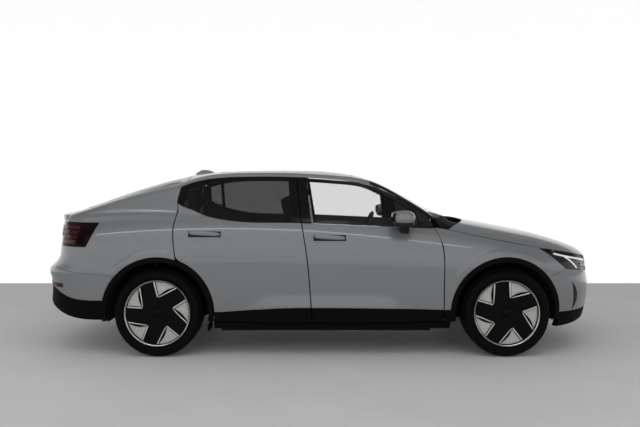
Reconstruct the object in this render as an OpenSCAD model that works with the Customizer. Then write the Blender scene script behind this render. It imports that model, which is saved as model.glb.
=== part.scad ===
// Fastback sedan, X forward, Y to the left, Z up from the road, in millimetres

/* [Overall] */
// Length over the bumpers
body_l = 4606; // [4560:2:4650]
// Width over the doors
body_w = 1859; // [1840:1:1880]
// Height of the roof crown above the road
roof_h = 1473; // [1465:1:1485]
// Distance between the axles
wheelbase = 2735; // [2720:1:2750]
// Front bumper to front axle
front_overhang = 866; // [855:1:875]
// Distance between the two wheel planes of an axle
track = 1600; // [1592:1:1606]

/* [Wheels] */
// Outer radius of a tyre
tyre_r = 343; // [336:1:348]
// Width of a tyre
tyre_w = 245; // [235:1:250]
// Radius of the rim under the tyre
rim_r = 252; // [246:1:258]
// Radius of a brake disc
disc_r = 172; // [160:1:180]
// Radius of a stub axle
spindle_r = 18; // [15:0.5:20]
// Radial play between a stub axle and its hub
spindle_play = 0.06; // [0.05:0.01:0.1]

/* [Body] */
// Play between a moving panel and its neighbour
shut_gap = 7; // [6.5:0.1:8]
// Play between two fixed panels
seat_gap = 0.3; // [0.2:0.05:0.4]
// Thickness of a door at its lower half
door_t = 105; // [95:1:110]
// Thickness of a window frame
frame_t = 40; // [34:1:44]
// Thickness of the glass
glass_t = 5; // [4:0.5:6]
// Width of the plastic trim round a wheel arch
trim_w = 40; // [34:1:44]
// Radius of a wheel arch inside its trim
arch_r = 400; // [398:1:404]

/* [Hidden] */
half_l = body_l / 2;
half_w = body_w / 2;
front_x = half_l - front_overhang;
rear_x = front_x - wheelbase;
hub_y = track / 2;
hub_z = tyre_r;
over = 1;
// Share by which inner edges lie further forward, so that doors swing past each other
slant = 0.3;

// Shape of the body: heights are shares of the roof height, lengths of half the body length
mid_x = -0.087 * half_l;
waist_z = 0.421 * roof_h;
sill_z = 0.147 * roof_h;
belt_z = 0.709 * roof_h;
nose_power = 9;
nose_round = 2;
tail_power = 14;
tail_round = 2.5;
side_power = 3.33;
tuck_share = 0.05;
lean = 0.6;
crown_power = 2.3;
rail_in = 0.078 * half_w;
rail_up = 0.027 * roof_h;
merge_h = 0.03 * roof_h;
nose_shares = [[0.1, 0.955], [0.146, 0.976], [0.224, 0.991], [0.31, 1], [0.36, 1], [0.421, 0.994]];
tail_shares = [[0.14, 0.93], [0.2, 0.968], [0.27, 0.994], [0.33, 0.992], [0.4, 0.995], [0.455, 1],
    [0.48, 0.984], [0.51, 0.97], [0.58, 0.964], [0.68, 0.966], [0.75, 0.976]];
deck_shares = [[-1, 0.743], [-0.912, 0.774], [-0.695, 0.818], [-0.434, 0.842], [-0.087, 0.832],
    [0.174, 0.791], [0.391, 0.741], [0.52, 0.709], [0.663, 0.669], [0.806, 0.623], [0.902, 0.577],
    [0.95, 0.547], [0.995, 0.504]];
cabin_shares = [[-1, 0.735], [-0.87, 0.78], [-0.695, 0.83], [-0.52, 0.87], [-0.35, 0.895], [-0.087, 0.9],
    [0.217, 0.85], [0.391, 0.775], [0.45, 0.75]];
merge_shares = [[-1, 0.712], [-0.87, 0.73], [-0.7, 0.748], [-0.5, 0.745], [-0.36, 0.729], [-0.076, 0.708],
    [0.43, 0.676]];
crown_shares = [[-0.973, 0.745], [-0.914, 0.769], [-0.85, 0.802], [-0.771, 0.848], [-0.676, 0.898],
    [-0.58, 0.941], [-0.46, 0.979], [-0.36, 0.993], [-0.2, 1], [-0.08, 0.999], [0.02, 0.992],
    [0.1, 0.975], [0.165, 0.952], [0.22, 0.922], [0.28, 0.876], [0.376, 0.795], [0.472, 0.722]];
rail_shares = [[-0.96, 0.702], [-0.867, 0.738], [-0.771, 0.784], [-0.676, 0.831], [-0.58, 0.869],
    [-0.513, 0.894], [-0.465, 0.921], [-0.413, 0.94], [-0.36, 0.949], [-0.243, 0.955], [-0.107, 0.953],
    [0.027, 0.941], [0.121, 0.926], [0.178, 0.905], [0.215, 0.88], [0.29, 0.815], [0.366, 0.741],
    [0.41, 0.692]];
belt_shares = [[-0.523, 0.826], [-0.5, 0.8], [-0.451, 0.7705], [-0.406, 0.744], [-0.359, 0.7285],
    [-0.076, 0.708], [0.403, 0.676]];
door_front_shares = [[0.18, 0.409], [0.4, 0.409], [0.56, 0.4085], [0.625, 0.402], [0.662, 0.392],
    [0.7, 0.381]];
door_mid_shares = [[0.18, -0.036], [0.353, -0.043], [0.557, -0.056], [0.706, -0.0725], [0.96, -0.093]];
door_rear_shares = [[0.519, -0.499], [0.593, -0.507], [0.672, -0.5125], [0.741, -0.509], [0.785, -0.505],
    [0.811, -0.51], [0.84, -0.5085], [0.9, -0.501]];
hood_side_shares = [[0.41, 0.815], [0.565, 0.868], [0.74, 0.905], [0.995, 0.905]];

function mix(a, b, u) = a + (b - a) * u;
function ease(u) = let(t = min(1, max(0, u))) t * t * (3 - 2 * t);
function seg(p, u, i = 0) = i >= len(p) - 2 || u < p[i + 1][0] ? i : seg(p, u, i + 1);
function grad(p, i) = (p[i + 1][1] - p[i][1]) / (p[i + 1][0] - p[i][0]);
function tang(p, i) = i == 0 ? grad(p, 0) : i == len(p) - 1 ? grad(p, i - 1)
    : let(a = p[i][0] - p[i - 1][0], b = p[i + 1][0] - p[i][0]) (grad(p, i - 1) * b + grad(p, i)
        * a) / (a + b);
function hermite(a, b, c, d, t) = a * (1 + 2 * t) * (1 - t) * (1 - t) + b * t * t * (3 - 2 * t)
    + c * t * (1 - t) * (1 - t) - d * t * t * (1 - t);
function curve(p, u) = let(i = seg(p, u), h = p[i + 1][0] - p[i][0],
    t = min(1, max(0, (u - p[i][0]) / h)))
    hermite(p[i][1], p[i + 1][1], tang(p, i) * h, tang(p, i + 1) * h, t);
function along(p, u) = let(n = len(p) - 1, i = min(floor(u * n), n - 1), t = u * n - i)
    hermite(p[i], p[i + 1], (p[i + 1] - p[max(0, i - 1)]) / (i == 0 ? 1 : 2),
        (p[min(n, i + 2)] - p[i]) / (i + 2 > n ? 1 : 2), t);
function coons(b, t, l, r, u, v) = mix(along(b, u), along(t, u), v) + mix(along(l, v), along(r, v), u)
    - mix(mix(b[0], b[len(b) - 1], u), mix(t[0], t[len(t) - 1], u), v);
function upto(n) = [for (i = [0 : n]) i / n];

// Surfaces of the body
function nose_x(z) = half_l * curve(nose_shares, min(z, waist_z) / roof_h);
function tail_x(z) = -half_l * curve(tail_shares, z / roof_h);
function plan(x, nose, tail) = x > mid_x
    ? pow(max(0, 1 - pow((x - mid_x) / (nose - mid_x), nose_power)), 1 / nose_round)
    : pow(max(0, 1 - pow((mid_x - x) / (mid_x - tail), tail_power)), 1 / tail_round);
function deck_z(x) = roof_h * curve(deck_shares, x / half_l);
function crown_z(x) = roof_h * curve(crown_shares, x / half_l);
function rail_z(x) = roof_h * curve(rail_shares, x / half_l);
function sill_side(x, z) = z < waist_z ? 1 - tuck_share * pow((waist_z - z) / (waist_z - sill_z), 2)
    : pow(max(0, 1 - pow(min(1, (z - waist_z) / (deck_z(x) - waist_z)), side_power)), 1 / side_power);
function cabin_side(x, z) = curve(cabin_shares, x / half_l) - lean * (z - belt_z) / half_w;
function side_share(x, z) = mix(sill_side(x, z), cabin_side(x, z),
    ease((z - roof_h * curve(merge_shares, x / half_l)) / merge_h / 2 + 0.5));
function side_y(x, z) = half_w * plan(x, nose_x(z), tail_x(z)) * side_share(x, z);
function wing_y(x, z) = half_w * plan(x, nose_x(z), tail_x(z)) * sill_side(x, z);
corner_x = -0.915 * half_l;
function edge_y(x) = let(c = max(x, corner_x)) side_y(c, rail_z(c)) - rail_in;
function edge_z(x) = rail_z(x) + rail_up;
function top_z(x, y) = crown_z(x) - (crown_z(x) - edge_z(x)) * pow(abs(y) / edge_y(x), crown_power);
function hood_w(x) = half_w * plan(x, nose_x(waist_z), tail_x(waist_z));
function hood_y(x) = hood_w(x) * curve(hood_side_shares, x / half_l);
function hood_z(x, y) = waist_z + (deck_z(x) - waist_z)
    * pow(max(0, 1 - pow(min(1, abs(y) / max(over, hood_w(x))), side_power)), 1 / side_power);
function nose_at(a, z) = [mid_x + (nose_x(z) - mid_x) * pow(sin(a), 2 / nose_power), z];
function nose_pt(a, z) = let(x = nose_at(a, z)[0])
    [x, -half_w * pow(cos(a), 2 / nose_round) * sill_side(x, z), z];
function tail_pt(a, z) = let(x = mid_x + (tail_x(z) - mid_x) * pow(sin(a), 2 / tail_power))
    [x, -half_w * pow(cos(a), 2 / tail_round) * side_share(x, z), z];
function inward(p, q, d) = let(t = q - p, n = norm([t[0], t[1]]))
    [p[0] - d * t[1] / n, p[1] + d * t[0] / n, p[2]];
function nose_in(a, z, d) = a > 89.5 ? nose_pt(90, z) - [d, 0, 0] : inward(nose_pt(a, z),
    nose_pt(a + 0.5, z), d);
function tail_in(a, z, d) = a > 89.5 ? tail_pt(90, z) + [d, 0, 0] : inward(tail_pt(a, z),
    tail_pt(a + 0.5, z), -d);

// Shut lines
function door_front(z) = half_l * curve(door_front_shares, z / roof_h);
function door_mid(z) = half_l * curve(door_mid_shares, z / roof_h);
trim_r = arch_r + trim_w;
trim_gap = 5;
line_gap = 3;
arch_gap_share = 1.4;
function arch_dx(z, r) = sqrt(max(0, r * r - (z - hub_z) * (z - hub_z)));
door_arch_r = trim_r + arch_gap_share * shut_gap;
arch_top_z = hub_z + 0.947 * door_arch_r;
function door_rear(z) = max(half_l * curve(door_rear_shares,
    max(z, door_rear_shares[0][0] * roof_h) / roof_h),
    z > arch_top_z ? -half_l : rear_x + arch_dx(z, door_arch_r));
function belt(x) = roof_h * curve(belt_shares, x / half_l);

// Closed shell between two grids of points, with open blocks of cells
function volume(p, f) = [for (t = f) p[t[0]] * cross(p[t[1]], p[t[2]])] * [for (t = f) 1];
module shell(outer, inner, holes = []) {
    n = len(outer) - 1;
    m = len(outer[0]) - 1;
    base = (n + 1) * (m + 1);
    function open(i, j) = len([for (h = holes)
        if (i >= h[0] && i < h[1] && j >= h[2] && j < h[3]) 1]) > 0;
    function full(i, j) = i >= 0 && j >= 0 && i < n && j < m && !open(i, j);
    function at(i, j) = i * (m + 1) + j;
    function wall(a, b) = [[b, a, a + base], [b, a + base, b + base]];
    function cell(i, j) = concat([[at(i, j), at(i + 1, j), at(i + 1, j + 1)],
        [at(i, j), at(i + 1, j + 1), at(i, j + 1)],
            [at(i, j) + base, at(i + 1, j + 1) + base, at(i + 1, j) + base],
            [at(i, j) + base, at(i, j + 1) + base, at(i + 1, j + 1) + base]],
        full(i, j - 1) ? [] : wall(at(i, j), at(i + 1, j)),
        full(i + 1, j) ? [] : wall(at(i + 1, j), at(i + 1, j + 1)),
        full(i, j + 1) ? [] : wall(at(i + 1, j + 1), at(i, j + 1)),
        full(i - 1, j) ? [] : wall(at(i, j + 1), at(i, j)));
    p = concat([for (c = outer) each c], [for (c = inner) each c]);
    f = [for (i = [0 : n - 1]) for (j = [0 : m - 1]) if (full(i, j)) each cell(i, j)];
    polyhedron(p, volume(p, f) > 0 ? [for (t = f) [t[2], t[1], t[0]]] : f);
}
module both() {
    children();
    mirror([0, 1, 0]) children();
}
function whole(c) = concat(c, [for (i = [len(c) - 2 : -1 : 0]) [for (p = c[i]) [p[0], -p[1], p[2]]]]);
function on_side(q, d = 0) = [q[0] + slant * d, d - side_y(q[0], q[1]), q[1]];
function on_wing(q, d = 0) = [q[0] + slant * d, d - wing_y(q[0], q[1]), q[1]];

// Wheel, with its outer face along the axis of turning
bead_share = 0.87;
rim_share = 0.96;
flange_r = rim_r + 0.04 * tyre_r;
flange_t = 0.03 * tyre_w;
barrel_t = 0.045 * rim_r;
half_t = tyre_w / 2;
face_z = 0.4 * tyre_w;
face_t = 0.075 * tyre_w;
disc_t = 0.11 * tyre_w;
hub_r = 0.3 * rim_r;
spoke_n = 5;
window_shares = [[0.5, -4.4], [1, -13], [1, -2], [1, 9], [1, 20], [1, 29]];
window_r = 0.945 * rim_r;
tyre_steps = 14;
module tyre() {
    mid_r = (tyre_r + rim_r + seat_gap) / 2;
    tall = (tyre_r - rim_r - seat_gap) / 2;
    rotate([90, 0, 0]) rotate_extrude($fn = 96)
        polygon([for (i = [0 : 2 * tyre_steps - 1]) let(a = 180 * (i + 0.5) / tyre_steps)
            [mid_r + tall * sign(cos(a)) * pow(abs(cos(a)), 0.6), half_t * sign(sin(a))
                * pow(abs(sin(a)), 0.75)]]);
}
module wheel() {
    rotate([90, 0, 0]) difference() {
        rotate_extrude($fn = 96) polygon([[0, -disc_t], [disc_r, -disc_t], [disc_r, 0], [hub_r, 0],
            [hub_r, face_z - face_t], [rim_r - barrel_t, face_z - face_t],
                [rim_r - barrel_t, -rim_share * half_t],
            [rim_r, -rim_share * half_t], [rim_r, bead_share * half_t],
                [flange_r, bead_share * half_t + flange_t / 2],
            [flange_r, bead_share * half_t + flange_t], [rim_r - barrel_t, face_z], [0, face_z]]);
        for (k = [0 : spoke_n - 1]) rotate([0, 0, 360 * k / spoke_n])
            translate([0, 0, face_z - face_t - over]) linear_extrude(face_t + 2 * over)
                polygon([for (w = window_shares) window_r * w[0] * [sin(w[1]), cos(w[1])]]);
        translate([0, 0, -disc_t - over]) cylinder(r = spindle_r + spindle_play, h = 2 * disc_t,
            $fn = 48);
    }
}
module at_wheel(x, side) {
    translate([x, side * hub_y, hub_z]) rotate([0, 0, side > 0 ? 180 : 0]) children();
}
module tyre_front_right() { color("black") at_wheel(front_x, -1) tyre(); }
module tyre_front_left() { color("black") at_wheel(front_x, 1) tyre(); }
module tyre_rear_right() { color("black") at_wheel(rear_x, -1) tyre(); }
module tyre_rear_left() { color("black") at_wheel(rear_x, 1) tyre(); }
module wheel_front_right() { color("dimgray") at_wheel(front_x, -1) wheel(); }
module wheel_front_left() { color("dimgray") at_wheel(front_x, 1) wheel(); }
module wheel_rear_right() { color("dimgray") at_wheel(rear_x, -1) wheel(); }
module wheel_rear_left() { color("dimgray") at_wheel(rear_x, 1) wheel(); }

// Knuckles and suspension
post_y = hub_y - 0.225 * tyre_w;
post_r = 15;
post_low = hub_z - 0.42 * tyre_r;
post_high = hub_z + 0.56 * tyre_r;
eye_r = 22;
eye_t = 30;
boss_r = 42;
play = 6;
spindle_end = hub_y + 0.8 * disc_t;
boss_end = hub_y - disc_t - play;
arm_y = 0.43 * half_w;
arm_t = 26;
strut_y = post_y - 0.38 * tyre_r;
strut_r = 24;
strut_top = 0.585 * roof_h;
mount_r = 62;
mount_t = 14;
caliper_t = 26;
caliper_r = disc_r + play;
module turned(x, y, z, r, h) {
    translate([x, y, z]) rotate([-90, 0, 0]) cylinder(r = r, h = h, $fn = 40);
}
module caliper(x) {
    difference() {
        turned(x, hub_y - disc_t - play - caliper_t, hub_z, caliper_r + caliper_t / 2, disc_t + 2 * play
            + 2 * caliper_t);
        turned(x, hub_y - disc_t - play, hub_z, caliper_r, disc_t + 2 * play);
        turned(x, hub_y - disc_t - play - caliper_t - over, hub_z, 0.55 * disc_r, disc_t + 2 * play + 2
            * caliper_t + 2 * over);
        translate([x - 0.3 * disc_r, 0, 0]) cube([2 * tyre_r, track, roof_h]);
        translate([x - tyre_r, 0, hub_z + 0.62 * disc_r]) cube([2 * tyre_r, track, roof_h]);
        translate([x - tyre_r, 0, 0]) cube([2 * tyre_r, track, hub_z - 0.25 * disc_r]);
    }
    translate([x - 0.75 * disc_r, hub_y - disc_t - play - caliper_t, hub_z])
        cube([0.75 * disc_r, caliper_t, caliper_t]);
}
module knuckle(side) {
    mirror([0, side < 0 ? 1 : 0, 0]) {
        translate([front_x, post_y, post_low]) cylinder(r = post_r, h = post_high - post_low, $fn = 40);
        translate([front_x, post_y, hub_z - boss_r - over])
            cylinder(r = eye_r, h = 2 * boss_r + 2 * over, $fn = 40);
        turned(front_x, post_y - eye_r, hub_z, boss_r, boss_end - post_y + eye_r);
        turned(front_x, post_y, hub_z, spindle_r, spindle_end - post_y);
        caliper(front_x);
    }
}
module knuckle_right() { color("gray") knuckle(-1); }
module knuckle_left() { color("gray") knuckle(1); }
module eye(z, h) {
    difference() {
        union() {
            translate([front_x, post_y, z]) cylinder(r = eye_r, h = h, $fn = 40);
            children();
        }
        translate([front_x, post_y, z - over]) cylinder(r = post_r + spindle_play, h = h + 2 * over,
            $fn = 40);
    }
}
arm_low = post_low + play;
eye_high = post_high - eye_t - play;
rail_y = 0.44 * half_w;
rail_t = 60;
rail_low = 0.27 * roof_h;
module front_suspension() {
    union() {
        translate([front_x - arm_y / 3, -arm_y, arm_low]) cube([2 * arm_y / 3, 2 * arm_y, arm_t]);
        both() {
            eye(arm_low, arm_t) translate([0, 0, arm_low]) linear_extrude(arm_t)
                polygon([[front_x - arm_y / 4, arm_y - over], [front_x + arm_y / 4, arm_y - over],
                    [front_x + eye_r, post_y], [front_x - eye_r, post_y]]);
            eye(eye_high, eye_t) translate([front_x - strut_r, strut_y, eye_high])
                cube([2 * strut_r, post_y - strut_y, eye_t]);
            translate([front_x, strut_y, eye_high]) cylinder(r = strut_r, h = strut_top - eye_high,
                $fn = 40);
            translate([front_x, strut_y, strut_top - mount_t]) cylinder(r = mount_r, h = mount_t,
                $fn = 40);
        }
    }
}
carrier_t = 60;
rear_strut_x = rear_x - 3 * strut_r;
module rear_suspension() {
    union() {
        translate([rear_x - arm_y / 2, -arm_y, arm_low]) cube([arm_y, 2 * arm_y, arm_t]);
        both() {
            turned(rear_x, boss_end - carrier_t, hub_z, boss_r, carrier_t);
            turned(rear_x, boss_end - over, hub_z, spindle_r, spindle_end - boss_end + over);
            translate([rear_x - boss_r, boss_end - carrier_t, arm_low])
                cube([2 * boss_r, carrier_t / 2, hub_z - arm_low + boss_r]);
            translate([rear_x - arm_y / 3, arm_y - over, arm_low])
                cube([2 * arm_y / 3, boss_end - carrier_t / 2 - arm_y + over, arm_t]);
            translate([rear_strut_x, strut_y, arm_low]) cylinder(r = strut_r, h = strut_top - arm_low,
                $fn = 40);
            caliper(rear_x);
        }
    }
}
module suspension() {
    color("dimgray") {
        front_suspension();
        rear_suspension();
    }
}
motor_r = hub_z - arm_low - arm_t - seat_gap;
motor_w = 0.27 * half_w;
shaft_r = 16;
module drive_unit(x, end_y) {
    turned(x, -motor_w, hub_z, motor_r, 2 * motor_w);
    translate([x - motor_r, -motor_w, hub_z]) cube([2 * motor_r, 2 * motor_w, 1.6 * motor_r]);
    turned(x, -end_y, hub_z, shaft_r, 2 * end_y);
}
module drive_units() {
    color("silver") {
        drive_unit(front_x, post_y - boss_r - 2 * play);
        drive_unit(rear_x, boss_end - carrier_t - seat_gap);
    }
}

// Floor, frame rails and the hidden posts
floor_z = 0.182 * roof_h;
floor_t = 14;
floor_y = 0.82 * half_w;
wheel_in_y = 0.44 * half_w;
floor_front = 0.44 * half_l;
floor_back = -0.36 * half_l;
boot_z = 0.41 * roof_h;
plate_t = 14;
seat_z = 0.37 * roof_h;
cushion_t = 0.09 * roof_h;
boot_front = -0.435 * half_l;
boot_back = -0.95 * half_l;
bench_low = seat_z - cushion_t - seat_gap;
module body_frame() {
    color("dimgray") {
        translate([0, 0, floor_z]) linear_extrude(floor_t)
            polygon([[floor_front, -floor_y], [floor_front, floor_y], [floor_back, floor_y],
                [floor_back, -floor_y]]);
        jack_pads();
        translate([floor_back, -wheel_in_y, floor_z])
            cube([plate_t, 2 * wheel_in_y, bench_low - floor_z]);
        translate([boot_front, -wheel_in_y, bench_low - plate_t])
            cube([floor_back + plate_t - boot_front, 2 * wheel_in_y, plate_t]);
        translate([boot_front, -wheel_in_y, bench_low - plate_t])
            cube([plate_t, 2 * wheel_in_y, boot_z - bench_low + plate_t]);
        translate([boot_back, -wheel_in_y, boot_z - plate_t])
            cube([boot_front + plate_t - boot_back, 2 * wheel_in_y, plate_t]);
        translate([floor_front - plate_t, -floor_y, floor_z])
            cube([plate_t, 2 * floor_y, 0.59 * roof_h - floor_z]);
        both() {
            translate([floor_front - over, rail_y - rail_t, rail_low])
                cube([0.46 * half_l, rail_t, rail_t]);
            translate([front_x - 2 * mount_r, rail_y - rail_t, rail_low])
                cube([4 * mount_r, plate_t, strut_top - rail_low]);
            translate([front_x - 2 * mount_r, rail_y - rail_t, strut_top])
                cube([4 * mount_r, strut_y - rail_y + rail_t + mount_r, plate_t]);
            translate([rear_x - 2 * mount_r, wheel_in_y - over, strut_top])
                cube([4 * mount_r, strut_y - wheel_in_y + mount_r, plate_t]);
            translate([rear_x - 2 * mount_r, wheel_in_y - plate_t, boot_z - plate_t])
                cube([4 * mount_r, plate_t, strut_top + plate_t - boot_z + plate_t]);
            translate([-0.93 * half_l, rail_y - rail_t, boot_z - plate_t - rail_t])
                cube([boot_front + 0.93 * half_l + over, rail_t, rail_t + over]);
        }
    }
}
pack_l = 0.74 * half_l;
pack_t = 0.075 * roof_h;
pad_r = 30;
pad_t = 20;
pad_x = 0.335 * half_l;
pad_y = 0.8 * half_w;
module battery_pack() {
    color("slategray") {
        translate([floor_front - pack_l - 0.06 * half_l, -0.7 * half_w, floor_z - pack_t])
            cube([pack_l, 1.4 * half_w, pack_t]);
    }
}
module jack_pads() {
    both() for (x = [-pad_x, pad_x])
        translate([x, pad_y - pad_r, floor_z - 2 * pad_t]) cylinder(r = pad_r, h = 2 * pad_t + over,
            $fn = 40);
}

// Lower plastic: sills, arch trims, front lip and rear skirt
trim_out = 5;
trim_t = 32;
sill_t = 0.13 * half_w;
door_low = 0.187 * roof_h;
sill_low = 0.147 * roof_h;
trim_from = -9;
trim_to = 189;
trim_steps = 16;
function trim_grid(x, d) = [for (u = upto(trim_steps)) [for (r = [arch_r, arch_r + trim_w / 2, trim_r])
    let(w = mix(trim_from, trim_to, u)) on_side([x + r * cos(w), hub_z + r * sin(w)]) + [0, d, 0]]];
module arch_trims() {
    both() for (x = [front_x, rear_x]) shell(trim_grid(x, -trim_out), trim_grid(x, trim_t));
}
sill_a = front_x - trim_r - seat_gap;
sill_b = rear_x + trim_r + seat_gap;
function sill_grid(d) = [for (u = upto(8)) [for (v = upto(2))
    on_side([mix(sill_a, sill_b, u), mix(sill_low, door_low - shut_gap, v)]) + [0, d, 0]]];
module sills() {
    both() shell(sill_grid(0), sill_grid(sill_t));
}

// Front end, written over the angle round the nose
hood_nose_share = 0.474;
lamp_tip_x = 0.744 * half_l;
lamp_end_x = mid_x + (nose_x(waist_z) - mid_x) * pow(1 - pow(hood_nose_share, 2), 1 / nose_power);
lamp_b = acos(hood_nose_share);
function nose_angle(x, z) = asin(pow((x - mid_x) / (nose_x(z) - mid_x), nose_power / 2));
function lamp_top(x) = [nose_angle(x, waist_z), hood_z(x, hood_y(x))];
lamp_low = [[29.5, 0.461 * roof_h], [46, 0.442 * roof_h], [lamp_b, 0.427 * roof_h]];
lamp_high = [for (u = upto(4)) lamp_top(mix(lamp_tip_x, lamp_end_x, 1 - pow(1 - u, 1.4)))];
lamp_back = [lamp_low[0], [24, 0.515 * roof_h], lamp_high[0]];
lamp_front = [lamp_low[2], lamp_high[4]];
lamp_steps = 8;
skin_t = 26;
drop_share = 1.4;
lip_high = 0.23 * roof_h;
lip_low = 0.148 * roof_h;
lip_rise = 0.25 * (lip_high - lip_low);
function arch_nose(z) = nose_angle(front_x + arch_dx(z, trim_r + trim_gap), z);
corner_z = 0.42 * roof_h;
corner_a = arch_nose(corner_z);
step_a = 0.4;
function lead_pt(a) = let(f = min(1, cos(a) / hood_nose_share), x = hood_lead(f) + shut_gap,
    y = f * (hood_y(x) - 2 * seat_gap))
    [x, -y, hood_z(x, y) - seat_gap];
fascia_high = concat([for (u = [0, 1 / 3, 2 / 3]) mix([corner_a, corner_z - seat_gap],
    lamp_low[0] - [0, seat_gap], u)],
    [for (u = upto(lamp_steps)) along(lamp_low, u) - [0, seat_gap]],
    [for (u = upto(5)) let(a = mix(lamp_b + step_a, 90, u)) [a, lead_pt(a)[2]]]);
fascia_n = len(fascia_high) - 1;
function fascia_pt(a, z, k) = k == 0 ? nose_pt(a, z) : mix(nose_pt(a, z), [lead_pt(a)[0], lead_pt(a)[1],
    z], k);
function fascia_at(i, v) = let(q = fascia_high[i], z = mix(lip_high, q[1], v),
    t = (q[0] - corner_a) / (90 - corner_a))
    [q[0] + (arch_nose(min(z, corner_z)) - corner_a) * pow(1 - t, 2), z,
        q[0] > lamp_b ? ease((v - 0.6) / 0.4) : 0];
function fascia_in(a, z, k, d, w = 1) = a > 89.5 ? fascia_pt(90, z, k) - [d, 0, 0]
    : mix(fascia_pt(a, z, k) + [0, d, 0], inward(fascia_pt(a, z, k), fascia_pt(a + step_a, z, k), d), w);
function fascia_grid(d) = [for (i = [0 : fascia_n]) [for (v = upto(6)) let(q = fascia_at(i, v))
    fascia_in(q[0], q[1], q[2], d, ease(i / 3)) - [0, 0, drop_share * d * pow(v, 6) * ease(i / 3)]]];
grille_from = 12;
module front_bumper() {
    color("darkgray") shell(whole(fascia_grid(0)), whole(fascia_grid(skin_t)),
        [[grille_from, 2 * fascia_n - grille_from, 1, 3]]);
}
grille_rows = [0, 1, 2, 3, 3.4];
function grille_grid(d) = [for (i = [grille_from - 1 : fascia_n]) [for (r = grille_rows)
    let(q = fascia_at(max(i, grille_from), r / 6)) nose_in(q[0] - (i < grille_from ? 4 * step_a : 0),
        q[1], d)]];
module front_grille() {
    shell(whole(grille_grid(skin_t + 2 * line_gap)), whole(grille_grid(2 * skin_t)));
}
function lip_grid(d) = [for (u = upto(12)) [for (v = upto(2))
    let(z = mix(lip_low + lip_rise * ease(u * 2), lip_high - seat_gap, v))
    mix(nose_pt(arch_nose(z), z) + [0, d, 0], nose_in(mix(arch_nose(z), 90, u), z, d), u == 0 ? 0 : 1)]];
module front_lip() {
    shell(whole(lip_grid(0)), whole(lip_grid(2 * skin_t)));
}
lamp_tip_share = 0.15;
function lamp_grid(t) = [for (u = upto(lamp_steps)) [for (v = upto(2))
    let(q = coons(lamp_low, lamp_high, lamp_back, lamp_front, u, v), w = ease(u * 3),
        d = t * mix(lamp_tip_share, 1, w))
    mix(nose_pt(q[0], q[1]) + [0, d, 0], nose_in(q[0], q[1], d), w) - [0, 0, drop_share * d * v * w]]];
module headlamps() {
    color("white") both() shell(lamp_grid(0), lamp_grid(skin_t));
}

// Wings: outlines in length and height
function arch_line(x, a, b, r) = [for (u = upto(10)) let(w = mix(a, b, u))
    [x + r * cos(w), hub_z + r * sin(w)]];
wing_foot = door_low - shut_gap + 2 * line_gap;
wing_from = 187.5;
wing_low = concat([[door_front(wing_foot) + shut_gap, wing_foot]],
    arch_line(front_x, wing_from, asin((corner_z - hub_z) / (trim_r + trim_gap)), trim_r + trim_gap));
function lamp_edge(v) = let(q = v < 0.5 ? mix(lamp_back[0], lamp_back[1], 2 * v) : mix(lamp_back[1],
    lamp_back[2], 2 * v - 1))
    nose_at(q[0], q[1]) - [4 * seat_gap, 0];
function hood_line(x) = [x, hood_z(x, hood_y(x))];
wing_back_x = door_front(0.69 * roof_h) + shut_gap;
wing_spread = 1.6;
wing_high = [for (u = upto(10)) hood_line(mix(wing_back_x, lamp_edge(1)[0], pow(u, wing_spread)))];
wing_back = [for (v = upto(6)) let(z = mix(wing_foot, wing_high[0][1], v)) [door_front(z) + shut_gap, z]];
wing_front = concat([wing_low[11], mix(wing_low[11], lamp_edge(0), 0.5)], [for (v = [0 : 0.25 : 0.75])
    lamp_edge(v)], [wing_high[10]]);
wing_t = 22;
function wing_grid(d) = [for (u = upto(16)) [for (v = upto(6))
    let(q = coons(wing_low, wing_high, wing_back, wing_front, u, v), g = 90 * pow(v, 3))
    [u == 0 ? max(q[0], door_front(q[1] - d * sin(g)) + shut_gap + slant * d * cos(g)) : q[0],
        d * cos(g) - wing_y(q[0], q[1]), q[1] - d * sin(g)]]];
module wings() {
    color("darkgray") both() shell(wing_grid(0), wing_grid(wing_t));
}

// Bonnet and the panel at the foot of the windscreen
hood_t = 24;
hood_inset_share = 1.2;
cowl_mid = 0.467 * half_l;
cowl_side = 0.395 * half_l;
hood_back_mid = 0.53 * half_l;
hood_back_side = 0.437 * half_l;
function cowl_x(f) = mix(cowl_mid, cowl_side, pow(abs(f), 2));
function hood_back(f) = mix(hood_back_mid, hood_back_side, pow(abs(f), 2.4));
function hood_lead(f) = mid_x + (nose_x(waist_z) - mid_x) * pow(1 - pow(f * hood_nose_share, 2),
    1 / nose_power) - shut_gap;
function hood_pt(f, u, d) = let(k = hood_inset_share * d, x = mix(hood_back(f) + k, hood_lead(f) - k, u),
    y = f * (hood_y(x) - shut_gap - k)) [x, y, hood_z(x, y) - d];
function hood_grid(d) = [for (i = [-6 : 6]) [for (u = upto(8)) hood_pt(sin(90 * i / 6), u, d)]];
module bonnet() {
    color("darkgray") shell(hood_grid(0), hood_grid(hood_t));
}
cowl_drop = 38;
function cowl_pt(f, u, d) = let(x = mix(cowl_x(f) - 2 * play, hood_back(f) + 4 * play, u),
    y = f * mix(0.98 * edge_y(cowl_side), hood_y(hood_back_side) - 2 * wing_t, u))
    [x, y, mix(top_z(x, y) - glass_t - 4 * seat_gap, hood_z(hood_back(f), y) - cowl_drop, ease(u * 1.6))
        - d];
function cowl_grid(d) = [for (i = [-6 : 6]) [for (u = upto(3)) cowl_pt(i / 6, u, d)]];
module cowl() {
    color("black") shell(cowl_grid(0), cowl_grid(hood_t));
}

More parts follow.
